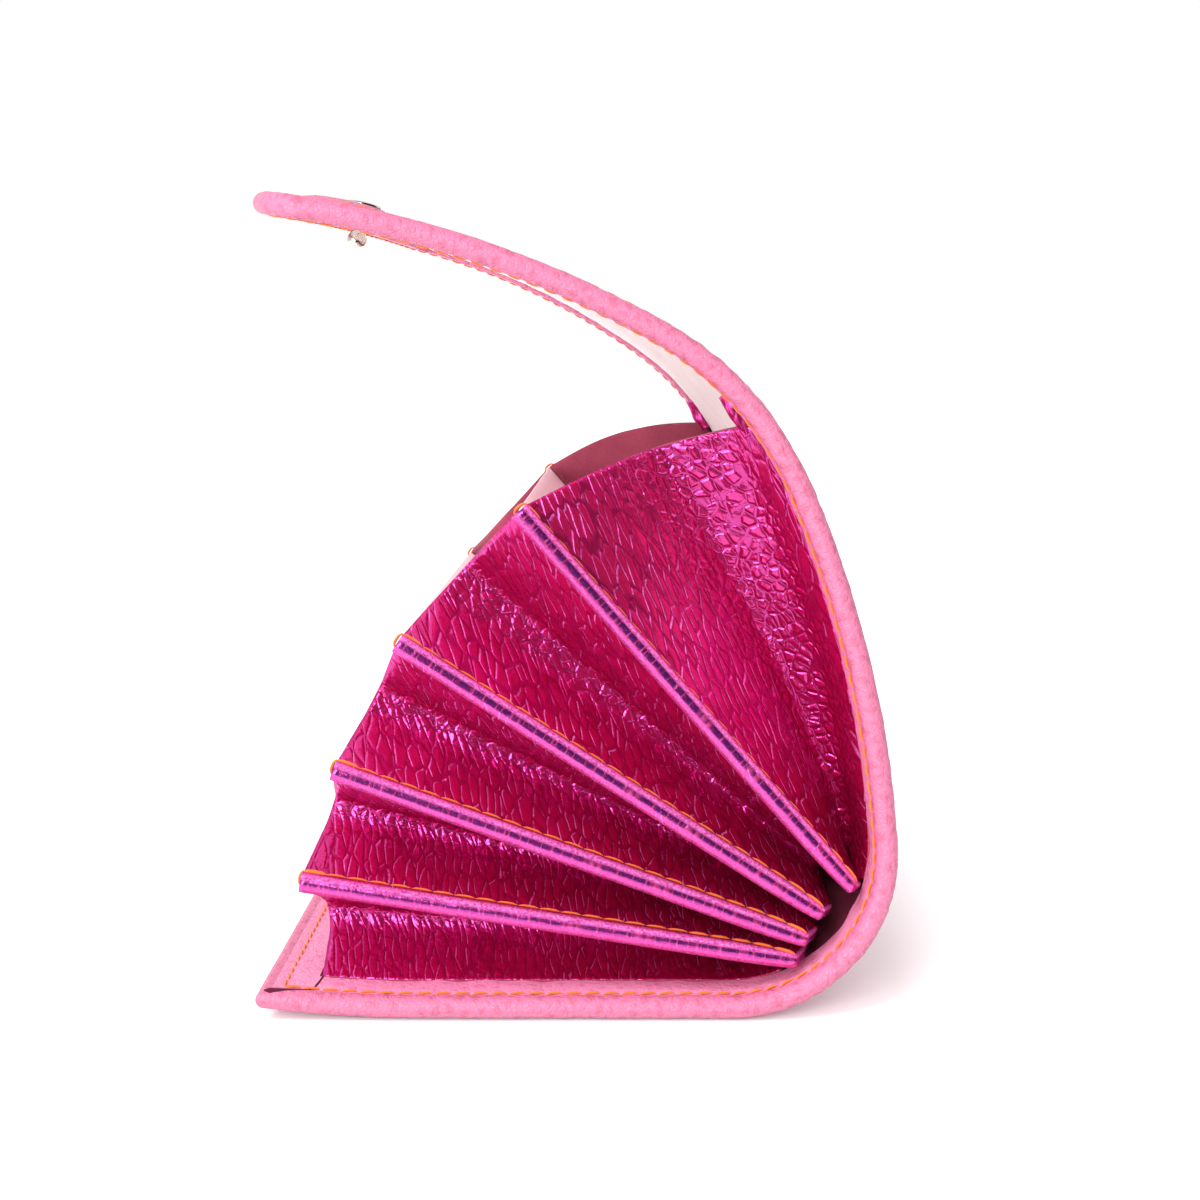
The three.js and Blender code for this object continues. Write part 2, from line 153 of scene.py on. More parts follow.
def keep_flat_measure(bm):
    """Writes the flat sheet's own millimetres to a UV map, in metres."""
    layer = bm.loops.layers.uv.new("flat")
    for face in bm.faces:
        for loop in face.loops:
            loop[layer].uv = loop.vert.co.xy * MM


def finish_piece(bm, name, materials, nodes=(), sharp=40):
    """Turns a bmesh into a piece that rides on the wallet and stands for CAD nodes."""
    bmesh.ops.remove_doubles(bm, verts=bm.verts, dist=1e-6)
    bmesh.ops.recalc_face_normals(bm, faces=bm.faces)
    mesh = bpy.data.meshes.new(name)
    bm.to_mesh(mesh)
    bm.free()
    for material in materials:
        mesh.materials.append(material)
    mesh.shade_smooth()
    mesh.set_sharp_from_angle(angle=radians(sharp))
    piece = bpy.data.objects.new(name, mesh)
    bpy.context.scene.collection.objects.link(piece)
    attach(piece, "root")
    if nodes:
        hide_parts(*nodes)
    print(f"{name}: {len(mesh.polygons)} faces")
    return piece


def thicken(piece, thick, flesh=False):
    """Gives a sheet its thickness, half to each side. The flesh side takes the second material."""
    wall = piece.modifiers.new("hide", "SOLIDIFY")
    wall.thickness = thick * MM
    wall.offset = 0
    wall.material_offset = int(flesh)
    wall.material_offset_rim = int(flesh)
    # Without this the shading of the flat faces would roll over the cut edge.
    piece.modifiers.new("crisp cut edge", "WEIGHTED_NORMAL")
    return piece


def wander(x, y, seed=0.0):
    """Smooth unevenness between -1 and 1. The same place always gives the same value."""
    return noise.noise(Vector((x, y, seed)))


# %% [markdown]
# ## The finishes
# A shader works with linear light, and colours are read off a screen as hex, so one function
# turns hex to linear. Another adds a node with its settings and links, which keeps each recipe
# short enough to read from top to bottom. All pattern sizes are given in millimetres.


# %% Colours and nodes
def srgb(code):
    """A hex colour as linear red, green, blue and alpha."""
    shares = [int(code[i:i + 2], 16) / 255 for i in (1, 3, 5)]
    linear = [s / 12.92 if s <= 0.04045 else ((s + 0.055) / 1.055) ** 2.4 for s in shares]
    return [*linear, 1.0]


def add_node(tree, kind, inputs=(), **settings):
    """Adds a node. Each input is a value, or the output of another node that is linked to it."""
    node = tree.nodes.new(kind)
    for name, value in settings.items():
        setattr(node, name, value)
    for socket, value in dict(inputs).items():
        if isinstance(value, bpy.types.NodeSocket):
            tree.links.new(value, node.inputs[socket])
        else:
            node.inputs[socket].default_value = value
    return node


def new_finish(name):
    """An empty material, with the node tree that its recipe fills."""
    material = bpy.data.materials.new(name)
    material.use_nodes = True
    material.node_tree.nodes.clear()
    return material, material.node_tree


def per_mm(size):
    """The scale of a pattern whose cells are this many millimetres wide."""
    return 1 / (size * MM)


SWAY_CELLS = 1.6


def pebble_height(tree, place, cell, waver, crack):
    """Pebbles of leather grain, cell mm wide, in a pattern that wavers by waver mm.
    Their borders dip over a share of the cell, crack."""
    sway = add_node(tree, "ShaderNodeTexNoise", {
        "Vector": place, "Scale": per_mm(cell * SWAY_CELLS), "Detail": 2})
    shifted = add_node(tree, "ShaderNodeVectorMath", {
        0: sway.outputs["Color"], 1: (waver * MM,) * 3, 2: place}, operation="MULTIPLY_ADD")
    cells = add_node(tree, "ShaderNodeTexVoronoi", {"Vector": shifted.outputs[0], "Scale": per_mm(cell)},
                     feature="DISTANCE_TO_EDGE")
    domes = add_node(tree, "ShaderNodeMapRange", {"Value": cells.outputs["Distance"], "From Max": crack},
                     interpolation_type="SMOOTHERSTEP")
    return domes.outputs["Result"]


# %% [markdown]
# The cover is drum-dyed, pebble-grained leather with a soft semi-matt finish. Up close it is a
# field of pebbles about a millimetre wide, gathered into soft pillows of 2.4 mm. The dye is a touch
# deeper in the creases and paler where the skin between two pillows is stretched, and each crown
# takes a broad, dull highlight. The turned-in hem takes a lighter copy of the same leather, painted
# light so that it is as bright as the rim.
# Two cell patterns of different size give all of that, for colour, gloss and relief alike.


# %% Pink pebble-grained leather
PEBBLE_CRACK = 0.22
PILLOW_CELLS = 2.4
PILLOW_CRACK = 0.42


def pink_leather(name, pale, crown, crease, cell, relief):
    """pale, crown and crease are the dyes between the pillows, on the pebbles and between those."""
    material, tree = new_finish(name)
    place = add_node(tree, "ShaderNodeTexCoord").outputs["Object"]
    domes = pebble_height(tree, place, cell, cell * 0.7, PEBBLE_CRACK)
    pillows = pebble_height(tree, place, cell * PILLOW_CELLS, cell * PILLOW_CELLS, PILLOW_CRACK)
    mottle = add_node(tree, "ShaderNodeTexNoise", {"Vector": place, "Scale": per_mm(14), "Detail": 3})
    depth = add_node(tree, "ShaderNodeMath", {0: domes, 1: 0.75, 2: mottle.outputs["Fac"]},
                     operation="MULTIPLY_ADD")
    tone = add_node(tree, "ShaderNodeMapRange", {
        "Value": depth.outputs[0], "From Min": 0.35, "From Max": 1.2})
    colour = add_node(tree, "ShaderNodeMix", {
        "Factor": tone.outputs["Result"], 6: srgb(crease), 7: srgb(crown)}, data_type="RGBA")
    dyed = add_node(tree, "ShaderNodeMix", {
        "Factor": pillows, 6: srgb(pale), 7: colour.outputs[2]}, data_type="RGBA")
    gloss = add_node(tree, "ShaderNodeMapRange", {"Value": domes, "To Min": 0.62, "To Max": 0.44})
    swell = add_node(tree, "ShaderNodeBump", {"Height": pillows, "Strength": 0.6, "Distance": 0.12 * MM})
    grain = add_node(tree, "ShaderNodeBump", {
        "Height": domes, "Strength": relief, "Distance": 0.16 * MM, "Normal": swell.outputs["Normal"]})
    skin = add_node(tree, "ShaderNodeBsdfPrincipled", {
        "Base Color": dyed.outputs[2], "Roughness": gloss.outputs["Result"], "IOR": 1.5,
        "Normal": grain.outputs["Normal"]})
    add_node(tree, "ShaderNodeOutputMaterial", {"Surface": skin.outputs["BSDF"]})
    return material


# An even, warm pink whose dull highlights make the eye read soft, padded leather.
COVER_LEATHER = pink_leather("pebble-grained pink leather", "#bb6484", "#b15977", "#aa5270", 1.0, 0.5)
# Painted light: paler than the rim, so the hem in the shade of the pleats is as bright as the rim
# and the folded border stands out as a band of its own.
HEM_LEATHER_PAINTED_LIGHTER = pink_leather("pink leather of the hem, painted lighter", "#da80a4", "#d2769a", "#cc6e92", 1.0, 0.5)
# Nearly plain and light, a calm plane between the glittering pleats.
DIVIDER_LEATHER = pink_leather("smooth pale pink leather", "#f7c9d2", "#f6c6d0", "#eeb8c6", 0.7, 0.25)
print("finishes:", COVER_LEATHER.name, "and", HEM_LEATHER_PAINTED_LIGHTER.name, "and", DIVIDER_LEATHER.name)

# %% [markdown]
# The gussets are foil-finished leather: a film of magenta metal pressed on the grain. It mirrors
# what is around it, coloured by the film, so each pebble has a violet-pink glint on the side that
# faces the light and goes deep crimson where it faces nothing bright.
# On a taut leaf the grain is drawn out into long cells, and a highlight is painted along one flank
# of each crease. Where the leather is slack it stands in round plates. Round the front of a pleat a pale
# band is painted as highlight, and along its edge a dark reflection is painted in dashes.
# Four attributes of the gussets say where each of these is,
# because only the step that folds the strip knows it: crown, slack, leaf and bead.

# %% Grain of the foil leather
PULL_SLOPE = 24
PULL_STRETCH = (1.0, 6.5, 4.6)
DRAWN_GRAIN = (1.35, 0.65)
PLATE_GRAIN = (2.3, 0.7)
GRAIN_AND_LIGHT_MARKS = ("crown", "slack", "leaf", "bead")


def foil_grain(tree, place, flat, slack):
    """The grain of the leaves, from 0 in a crease to 1 on a pebble: all of it, its broad domes alone,
    and a painted highlight along one flank of each crease of the taut leather."""
    plates = pebble_height(tree, flat, *PLATE_GRAIN, 0.3)
    drawn = add_node(tree, "ShaderNodeMapping", {
        "Vector": place, "Rotation": (0, radians(-PULL_SLOPE), 0), "Scale": PULL_STRETCH},
        vector_type="TEXTURE").outputs["Vector"]
    creases = pebble_height(tree, drawn, *DRAWN_GRAIN, 0.18)
    domes = pebble_height(tree, drawn, *DRAWN_GRAIN, 0.5)
    pebbles = add_node(tree, "ShaderNodeMix", {"Factor": slack, 2: creases, 3: plates})
    # The same creases a little aside: where the two differ is one flank of each crease, and a highlight is
    # painted there as if light fell from that side.
    aside = add_node(tree, "ShaderNodeVectorMath", {0: drawn, 1: (0.16 * MM, 0, -0.1 * MM)})
    beside = pebble_height(tree, aside.outputs[0], *DRAWN_GRAIN, 0.18)
    flank = add_node(tree, "ShaderNodeMath", {0: beside, 1: creases}, operation="SUBTRACT")
    highlight_flank = add_node(tree, "ShaderNodeMapRange", {
        "Value": flank.outputs[0], "From Min": 0.42, "From Max": 0.8})
    # A random noise breaks the painted highlight into pieces, and slack leather gets none.
    unevenness = add_node(tree, "ShaderNodeTexNoise", {"Vector": place, "Scale": per_mm(7), "Detail": 2})
    patchy = add_node(tree, "ShaderNodeMapRange", {
        "Value": unevenness.outputs["Fac"], "From Min": 0.35, "From Max": 0.65})
    taut = add_node(tree, "ShaderNodeMath", {0: 1.0, 1: slack}, operation="SUBTRACT")
    taut_patchy = add_node(tree, "ShaderNodeMath", {0: patchy.outputs["Result"], 1: taut.outputs[0]},
                          operation="MULTIPLY")
    painted_crease_highlight = add_node(tree, "ShaderNodeMath", {0: highlight_flank.outputs["Result"], 1: taut_patchy.outputs[0]},
                      operation="MULTIPLY")
    return pebbles.outputs[0], domes, painted_crease_highlight.outputs[0]


# %% Magenta foil leather
def foil_colour(tree, flat, fine, pebbles, painted_crease_highlight, crown, bead):
    """Crimson film, darker in the creases, with painted highlights round the front of a pleat and on one
    flank of each crease, and a painted dark reflection in dashes along a pleat's edge.
    """
    film = add_node(tree, "ShaderNodeMix", {
        "Factor": pebbles, 6: srgb("#74052c"), 7: srgb("#980836")}, data_type="RGBA")
    # The colour of the painted highlights, flecked with fine specks.
    speck = add_node(tree, "ShaderNodeMapRange", {"Value": fine, "From Min": 0.32, "From Max": 0.68})
    pale = add_node(tree, "ShaderNodeMix", {
        "Factor": speck.outputs["Result"], 6: srgb("#b4348c"), 7: srgb("#f08cdc")}, data_type="RGBA")
    bright = add_node(tree, "ShaderNodeMath", {0: bead, 1: painted_crease_highlight}, operation="MAXIMUM")
    lit = add_node(tree, "ShaderNodeMix", {
        "Factor": bright.outputs[0], 6: film.outputs[2], 7: pale.outputs[2]}, data_type="RGBA")
    run = add_node(tree, "ShaderNodeMapping", {"Vector": flat, "Scale": (1.0, 0.0, 0.0)})
    dashes = pebble_height(tree, run.outputs["Vector"], 2.6, 0.3, 0.06)
    ragged = add_node(tree, "ShaderNodeMath", {0: fine, 1: crown}, operation="MULTIPLY")
    crown_breakup = add_node(tree, "ShaderNodeMapRange", {
        "Value": ragged.outputs[0], "From Min": 0.26, "From Max": 0.42})
    painted_dark_dashes = add_node(tree, "ShaderNodeMath", {0: crown_breakup.outputs["Result"], 1: dashes}, operation="MULTIPLY")
    # Painted dark reflection, in dashes along the crown of each pleat.
    colour = add_node(tree, "ShaderNodeMix", {
        "Factor": painted_dark_dashes.outputs[0], 6: lit.outputs[2], 7: srgb("#2a0a46")}, data_type="RGBA")
    return colour.outputs[2]


def foil_leather():
    """A tinted mirror over three reliefs: broad waves, fine grit and the grain."""
    material, tree = new_finish("magenta foil leather")
    place = add_node(tree, "ShaderNodeTexCoord").outputs["Object"]
    flat = add_node(tree, "ShaderNodeUVMap", uv_map="flat").outputs["UV"]
    crown, slack, leaf, bead = [add_node(tree, "ShaderNodeAttribute", attribute_name=mark).outputs["Fac"]
                                for mark in GRAIN_AND_LIGHT_MARKS]
    fine = add_node(tree, "ShaderNodeTexNoise", {
        "Vector": place, "Scale": per_mm(0.45), "Detail": 2}).outputs["Fac"]
    pebbles, domes, painted_crease_highlight = foil_grain(tree, place, flat, slack)
    colour = foil_colour(tree, flat, fine, pebbles, painted_crease_highlight, crown, bead)
    gloss = add_node(tree, "ShaderNodeMapRange", {"Value": fine, "To Min": 0.16, "To Max": 0.3})
    domed = add_node(tree, "ShaderNodeMath", {0: domes, 1: 0.3, 2: pebbles}, operation="MULTIPLY_ADD")
    height = add_node(tree, "ShaderNodeMath", {0: domed.outputs[0], 1: leaf}, operation="MULTIPLY")
    sway = add_node(tree, "ShaderNodeTexNoise", {"Vector": place, "Scale": per_mm(3.4), "Detail": 1})
    relief = None
    for rise, distance in ((sway.outputs["Fac"], 0.2), (fine, 0.02), (height.outputs[0], 0.11)):
        under = {} if relief is None else {"Normal": relief}
        relief = add_node(tree, "ShaderNodeBump", {
            "Height": rise, "Strength": 1.0, "Distance": distance * MM, **under}).outputs["Normal"]
    skin = add_node(tree, "ShaderNodeBsdfPrincipled", {
        "Base Color": colour, "Roughness": gloss.outputs["Result"], "IOR": 2.6,
        "Specular IOR Level": 1.0, "Specular Tint": (1.0, 0.13, 0.6, 1.0), "Normal": relief})
    add_node(tree, "ShaderNodeOutputMaterial", {"Surface": skin.outputs["BSDF"]})
    return material


# Deep crimson with small violet-pink glints, partly mirrored and partly painted, which the eye reads as
# metal.
GUSSET_FOIL = foil_leather()
print("finish:", GUSSET_FOIL.name)

# %% [markdown]
# The other side of a hide has no grain and no film. It is the flesh side, a nap of short, matt fibres,
# plainly dyed in the gussets, painted dark on the cover as shade for the slot behind the pleats,
# and buffed to pale suede on the lining. One recipe with a fine and a cloudy noise makes them all,
# and a little sheen lifts the nap of the pale ones.


# %% Flesh sides and suede
def suede(name, light, dark, nap, sheen):
    """The napped flesh side of a hide: short fibres that scatter light, with no gloss."""
    material, tree = new_finish(name)
    place = add_node(tree, "ShaderNodeTexCoord").outputs["Object"]
    fibres = add_node(tree, "ShaderNodeTexNoise", {
        "Vector": place, "Scale": per_mm(nap), "Detail": 4, "Roughness": 0.7}).outputs["Fac"]
    cloud = add_node(tree, "ShaderNodeTexNoise", {"Vector": place, "Scale": per_mm(9), "Detail": 2})
    both = add_node(tree, "ShaderNodeMath", {0: fibres, 1: cloud.outputs["Fac"]}, operation="ADD")
    tone = add_node(tree, "ShaderNodeMapRange", {
        "Value": both.outputs[0], "From Min": 0.55, "From Max": 1.45})
    colour = add_node(tree, "ShaderNodeMix", {
        "Factor": tone.outputs["Result"], 6: srgb(dark), 7: srgb(light)}, data_type="RGBA")
    bump = add_node(tree, "ShaderNodeBump", {"Height": fibres, "Strength": 0.9, "Distance": 0.3 * MM})
    skin = add_node(tree, "ShaderNodeBsdfPrincipled", {
        "Base Color": colour.outputs[2], "Roughness": 0.95, "IOR": 1.4,
        "Sheen Weight": sheen, "Sheen Roughness": 0.6, "Normal": bump.outputs["Normal"]})
    add_node(tree, "ShaderNodeOutputMaterial", {"Surface": skin.outputs["BSDF"]})
    return material


# Painted shade: dark and matt, so the slot behind the pleats looks deep and shaded.
COVER_FLESH_PAINTED_DARK = suede("maroon flesh side, painted dark for shade", "#7c2440", "#62162e", 0.5, 0.0)
# A duller red than the foil, plainly the back of the same leather.
GUSSET_FLESH = suede("red-pink flesh side", "#a8455f", "#8c3048", 0.5, 0.1)
# The lightest and softest surface, which opens the flap to the eye.
LINING_SUEDE = suede("pale pink suede", "#fdf4f3", "#f1dcdc", 0.45, 0.35)
print("finishes:", COVER_FLESH_PAINTED_DARK.name, "and", GUSSET_FLESH.name, "and", LINING_SUEDE.name)

# %% [markdown]
# Two more finishes: bonded polyester sewing thread, two plies twisted together, and the nickel
# plate of the press stud. The twist is drawn as slanted bands on each stitch's own UV map.


# %% Orange thread and nickel plate
PLY_SLANT = 35
PLY_BANDS = 2.2


def sewing_thread():
    """Orange thread with a soft shine, its two plies seen as slanted bands."""
    material, tree = new_finish("twisted orange polyester thread")
    lay = add_node(tree, "ShaderNodeUVMap", uv_map="flat").outputs["UV"]
    slant = add_node(tree, "ShaderNodeMapping", {"Vector": lay, "Rotation": (0, 0, radians(PLY_SLANT))})
    plies = add_node(tree, "ShaderNodeTexWave", {
        "Vector": slant.outputs["Vector"], "Scale": PLY_BANDS, "Distortion": 0.6}).outputs["Fac"]
    colour = add_node(tree, "ShaderNodeMix", {
        "Factor": plies, 6: srgb("#d4560a"), 7: srgb("#f27a1a")}, data_type="RGBA")
    bump = add_node(tree, "ShaderNodeBump", {"Height": plies, "Strength": 0.5, "Distance": 0.08 * MM})
    fibre = add_node(tree, "ShaderNodeBsdfPrincipled", {
        "Base Color": colour.outputs[2], "Roughness": 0.55, "IOR": 1.5, "Sheen Weight": 0.2,
        "Normal": bump.outputs["Normal"]})
    add_node(tree, "ShaderNodeOutputMaterial", {"Surface": fibre.outputs["BSDF"]})
    return material


def nickel_plate():
    """Bright metal, handled until its gloss is a little uneven."""
    material, tree = new_finish("polished nickel plate")
    place = add_node(tree, "ShaderNodeTexCoord").outputs["Object"]
    unevenness = add_node(tree, "ShaderNodeTexNoise", {"Vector": place, "Scale": per_mm(0.8), "Detail": 3})
    gloss = add_node(tree, "ShaderNodeMapRange", {
        "Value": unevenness.outputs["Fac"], "To Min": 0.06, "To Max": 0.2})
    plate = add_node(tree, "ShaderNodeBsdfPrincipled", {
        "Base Color": srgb("#cfc8bd"), "Metallic": 1.0, "Roughness": gloss.outputs["Result"]})
    add_node(tree, "ShaderNodeOutputMaterial", {"Surface": plate.outputs["BSDF"]})
    return material


# A fine, warm line against the pinks, which shows how the pieces are joined.
THREAD = sewing_thread()
# A small, sharp mirror among soft surfaces.
NICKEL = nickel_plate()
print("finishes:", THREAD.name, "and", NICKEL.name)

# %% [markdown]
# ## The cover
# The cover's border is folded in and sewn down, which makes a round, padded rim with a flat hem
# 10.5 mm wide behind it. It could be a plane with a Solidify modifier, but the rim, the seam's
# groove and the cut edge of the hem all change the thickness, so both faces are set by formula:
# the sheet starts flat, is extruded to two faces, and then each point gets its depth.

# %% Sizes of the hem
HEM_WIDTH = 10.5
HEM_THICK = 4.2
RIM_ROUND = 2.05
PANEL_THICK = 3.0
BACK_THICK = 1.6
LINING_START = 126.5
SEAM_IN = 3.6
LIP_SEAM_IN = 4.7
SEAM_GROOVE = 0.18
GROOVE_REACH = 0.6
STITCH_PITCH = 3.5
BORDER = [0, 0.12, 0.4, 0.85, 1.4, 2.05, 2.8, 3.3, 3.6, 3.9, 4.4, 5.6, 7.4, 9.2, 9.9, 10.3, 10.55, 11.4]
BORDER_WIDTH = BORDER[-1]
PATCH_FROM_END = 13.5
PATCH_RISE = 2.0
PATCH_HALF_LENGTH = 12
PATCH_HALF_WIDTH = 13
ROW_PITCH = 1.0
SQUEEZED = [(114, 24), (228, 26)]  # middle and half length of the spine and of the flap fold, in mm
PUCKER = 0.14
BEND_PUCKER = 0.1
PUCKER_FADE = 3
PANEL_SWELL = 0.12
HEM_CURL = 0.35
HEM_CURL_FROM = 8
# Where the hem's lighter copy, painted light, begins.
LIGHTER_HEM_FROM = SEAM_IN - 0.9


def patch_rise(along, across):
    """The leather stands up in a soft oval round the snap."""
    u = (along - flap_end(0) + PATCH_FROM_END) / PATCH_HALF_LENGTH
    v = across / PATCH_HALF_WIDTH
    inside = max(0, 1 - u * u - v * v)
    return PATCH_RISE * inside * (2 - inside)


def rim_inset(edge):
    """How far either face draws back this close to the rim, which is half round."""
    reach = max(0, RIM_ROUND - edge)
    return RIM_ROUND - sqrt(RIM_ROUND ** 2 - reach ** 2)


def seam_groove(along, edge):
    """The seam pulls the leather in. On the lip it lies further from the rim than elsewhere."""
    seam_in = LIP_SEAM_IN if along == edge else SEAM_IN
    return SEAM_GROOVE * exp(-((edge - seam_in) / GROOVE_REACH) ** 2)


def in_bend(along):
    """1 in the spine and in the flap fold, where the leather is pushed together, and 0 elsewhere."""
    return max(exp(-((along - place) / reach) ** 4) for place, reach in SQUEEZED)


def pucker(along, across, edge):
    """Soft cross-wise wrinkles of the rim and hem, about 3 mm apart and deeper in the bends."""
    if edge > HEM_WIDTH:
        return 0.0
    size = PUCKER + BEND_PUCKER * in_bend(along)
    fade = min(1, (HEM_WIDTH - edge) / PUCKER_FADE)
    return size * fade * wander((along + across) / 1.7, edge / 5.0, 3.7)


# %% Shape the cover
cover_rows = [*BORDER[:-1], *steps(BORDER_WIDTH, FLAP_START, ROW_PITCH)]
flap_rows = steps(FLAP_START, flap_end(0) - BORDER_WIDTH, ROW_PITCH)
end_rows = [flap_end(0) - edge for edge in reversed(BORDER)]
half = WIDTH / 2
middle = [*steps(-half + BORDER_WIDTH, -16, 4), *steps(-16, 16, 1), *steps(16, half - BORDER_WIDTH, 4)]
cover_columns = [*(edge - half for edge in BORDER[:-1]), *middle, *(half - edge for edge in reversed(BORDER))]


def to_flap_outline(along, across):
    """Draws the rows of the flap out to its bowed edge, keeping those of the hem as wide as they are."""
    if along <= FLAP_START:
        return along
    from_end = flap_end(0) - along
    if from_end <= BORDER_WIDTH + 1e-6:
        return flap_end(across) - from_end
    room = flap_end(0) - BORDER_WIDTH - FLAP_START
    return FLAP_START + (along - FLAP_START) / room * (flap_end(across) - BORDER_WIDTH - FLAP_START)


def edge_distance(along, across):
    """How far a place on the cover is from its nearest edge."""
    return max(0, min(along, flap_end(across) - along, half - abs(across)))


def outer_depth(along, across, edge):
    """The outer face, with a broad unevenness that a hide keeps when it is bent."""
    swell = PANEL_SWELL * (1 + wander(along / 22, across / 22, 8.1))
    return (rim_inset(edge) - patch_rise(along, across) + seam_groove(along, edge)
            + pucker(along, across, edge) + swell)


def inner_depth(along, across, edge):
    """The inner face: the hem, whose cut edge curls here and there, and the panel behind it."""
    if edge < HEM_WIDTH:
        curl = HEM_CURL * max(0, (edge - HEM_CURL_FROM) / (HEM_WIDTH - HEM_CURL_FROM))
        lifted = curl * wander(along / 4.5, across / 4.5, 1.3)
        return HEM_THICK - rim_inset(edge) - seam_groove(along, edge) + pucker(along, across, edge) + lifted
    return PANEL_THICK if along < LINING_START else BACK_THICK


bm = flat_sheet([*cover_rows, *flap_rows, *end_rows], cover_columns)
for vert in bm.verts:
    vert.co.x = to_flap_outline(vert.co.x, vert.co.y)
inside = bmesh.ops.extrude_face_region(bm, geom=bm.faces[:])["geom"]
bmesh.ops.translate(bm, vec=(0, 0, 1), verts=[g for g in inside if isinstance(g, bmesh.types.BMVert)])
keep_flat_measure(bm)
for face in bm.faces:
    inward = [edge_distance(v.co.x, v.co.y) for v in face.verts if v.co.z > 0.5]
    if len(inward) == len(face.verts):
        # On the inner face the rim keeps the first material, then come the hem, in its lighter copy painted
        # as light, and the flesh side, painted dark as shade.
        face.material_index = 2 if min(inward) > HEM_WIDTH else int(min(inward) > LIGHTER_HEM_FROM)
for vert in bm.verts:
    along, across, face = vert.co
    edge = edge_distance(along, across)
    depth = inner_depth(along, across, edge) if face > 0.5 else outer_depth(along, across, edge)
    vert.co = cover_point(along, depth, across)
finish_piece(bm, "cover", [COVER_LEATHER, HEM_LEATHER_PAINTED_LIGHTER, COVER_FLESH_PAINTED_DARK], ["cover"], sharp=60)

# %% [markdown]
# ## The seams of the cover
# A lockstitch seam runs round the border, 3.6 mm from the rim, in orange thread. Each stitch is a
# short, plump length of thread that dives into the leather at both ends and lies a little askew.
# One stitch is made from a sphere that is drawn out and arched. Copies of it then go along the seam,
# on both faces of the cover.

# %% One stitch
THREAD_ROUND = 0.34
STITCH_TWISTS = 2.5
STITCH_PLUMP = 0.75
STITCH_DIVE = 1.1


def make_stitch():
    """A stitch one unit long and two thread radii thick, along x, bowed up in z."""
    bm = bmesh.new()
    bmesh.ops.create_uvsphere(bm, u_segments=8, v_segments=6, radius=1)
    bmesh.ops.rotate(bm, cent=(0, 0, 0), matrix=Matrix.Rotation(radians(90), 3, "Y"), verts=bm.verts)
    layer = bm.loops.layers.uv.new("flat")
    for face in bm.faces:
        for loop in face.loops:
            spot = loop.vert.co
            loop[layer].uv = (spot.x * STITCH_TWISTS, atan2(spot.y, spot.z) / pi)
    for vert in bm.verts:
        reach = abs(vert.co.x)
        plump = (1 - reach ** 4) / max(sqrt(1 - min(reach, 0.999) ** 2), 0.05) * STITCH_PLUMP
        wide = min(plump, 1)
        vert.co = (vert.co.x / 2, vert.co.y * wide, vert.co.z * wide - STITCH_DIVE * reach ** 3)
    mesh = bpy.data.meshes.new("one stitch")
    bm.to_mesh(mesh)
    bm.free()
    return mesh


STITCH = make_stitch()


def sew(bm, start, end, out, thick=THREAD_ROUND):
    """Lays one stitch from start to end, bowed towards out."""
    run = end - start
    side = out.cross(run).normalized()
    up = run.cross(side).normalized()
    made = len(bm.verts)
    bm.from_mesh(STITCH)
    bm.verts.ensure_lookup_table()
    turned = Matrix((run, side * thick * MM, up * thick * MM)).transposed().to_4x4()
    bmesh.ops.transform(bm, matrix=Matrix.Translation((start + end) / 2) @ turned, verts=bm.verts[made:])


print("one stitch has", len(STITCH.polygons), "faces")

# %% [markdown]
# The seam's route is set on the flat leather: down one side, round the flap and back up the other.
# It is walked in equal paces, so a stitch may turn a corner but never changes its length.


# %% Sew the cover
ROUTE_STEP = 2
STITCH_GAP = 0.01
STITCH_SLANT = 0.26
INNER_THREAD_PROUD = 0.1
OUTER_THREAD_SUNK = 0.3


def cover_seam():
    """The seam on the flat leather, as points along and across."""
    side = half - SEAM_IN
    near = [(along, -side) for along in steps(LIP_SEAM_IN, flap_end(side) - SEAM_IN, ROUTE_STEP)]
    flap = [(flap_end(across) - SEAM_IN, across) for across in steps(-side, side, ROUTE_STEP)]
    far = [(along, side) for along in steps(flap_end(side) - SEAM_IN, LIP_SEAM_IN, ROUTE_STEP)]
    lip = [(LIP_SEAM_IN, across) for across in steps(side, -side, ROUTE_STEP)]
    return [*near, *flap, *far, *lip, near[0]]


def pace(points, pitch):
    """Points that follow a line in equal paces."""
    lengths = [0.0]
    for a, b in zip(points, points[1:]):
        lengths.append(lengths[-1] + hypot(b[0] - a[0], b[1] - a[1]))
    count = round(lengths[-1] / pitch)
    walked = []
    for i in range(count + 1):
        far = lengths[-1] * i / count
        k = min(bisect(lengths, far), len(points) - 1)
        share = (far - lengths[k - 1]) / max(lengths[k] - lengths[k - 1], 1e-9)
        walked.append([a + (b - a) * share for a, b in zip(points[k - 1], points[k])])
    return walked


def sew_on_cover(bm, seam, depth, outwards):
    """Sews a seam on one face of the cover, with each stitch a little askew."""
    for (a, p), (b, q) in zip(seam, seam[1:]):
        off = Vector((q - p, a - b)).normalized() * STITCH_SLANT
        start = (a + (b - a) * STITCH_GAP + off.x, p + (q - p) * STITCH_GAP + off.y)
        end = (b - (b - a) * STITCH_GAP - off.x, q - (q - p) * STITCH_GAP - off.y)
        heading = cover_station((a + b) / 2, p)[2]
        out = Vector((sin(heading), 0, -cos(heading))) * outwards
        sew(bm, cover_point(start[0], depth, start[1]), cover_point(end[0], depth, end[1]), out)


seam = pace(cover_seam(), STITCH_PITCH)
bm = bmesh.new()
sew_on_cover(bm, seam, HEM_THICK + INNER_THREAD_PROUD, -1)
sew_on_cover(bm, seam, OUTER_THREAD_SUNK, 1)
finish_piece(bm, "cover_stitches", [THREAD])
print("stitches round the cover:", len(seam) - 1, "on each face")

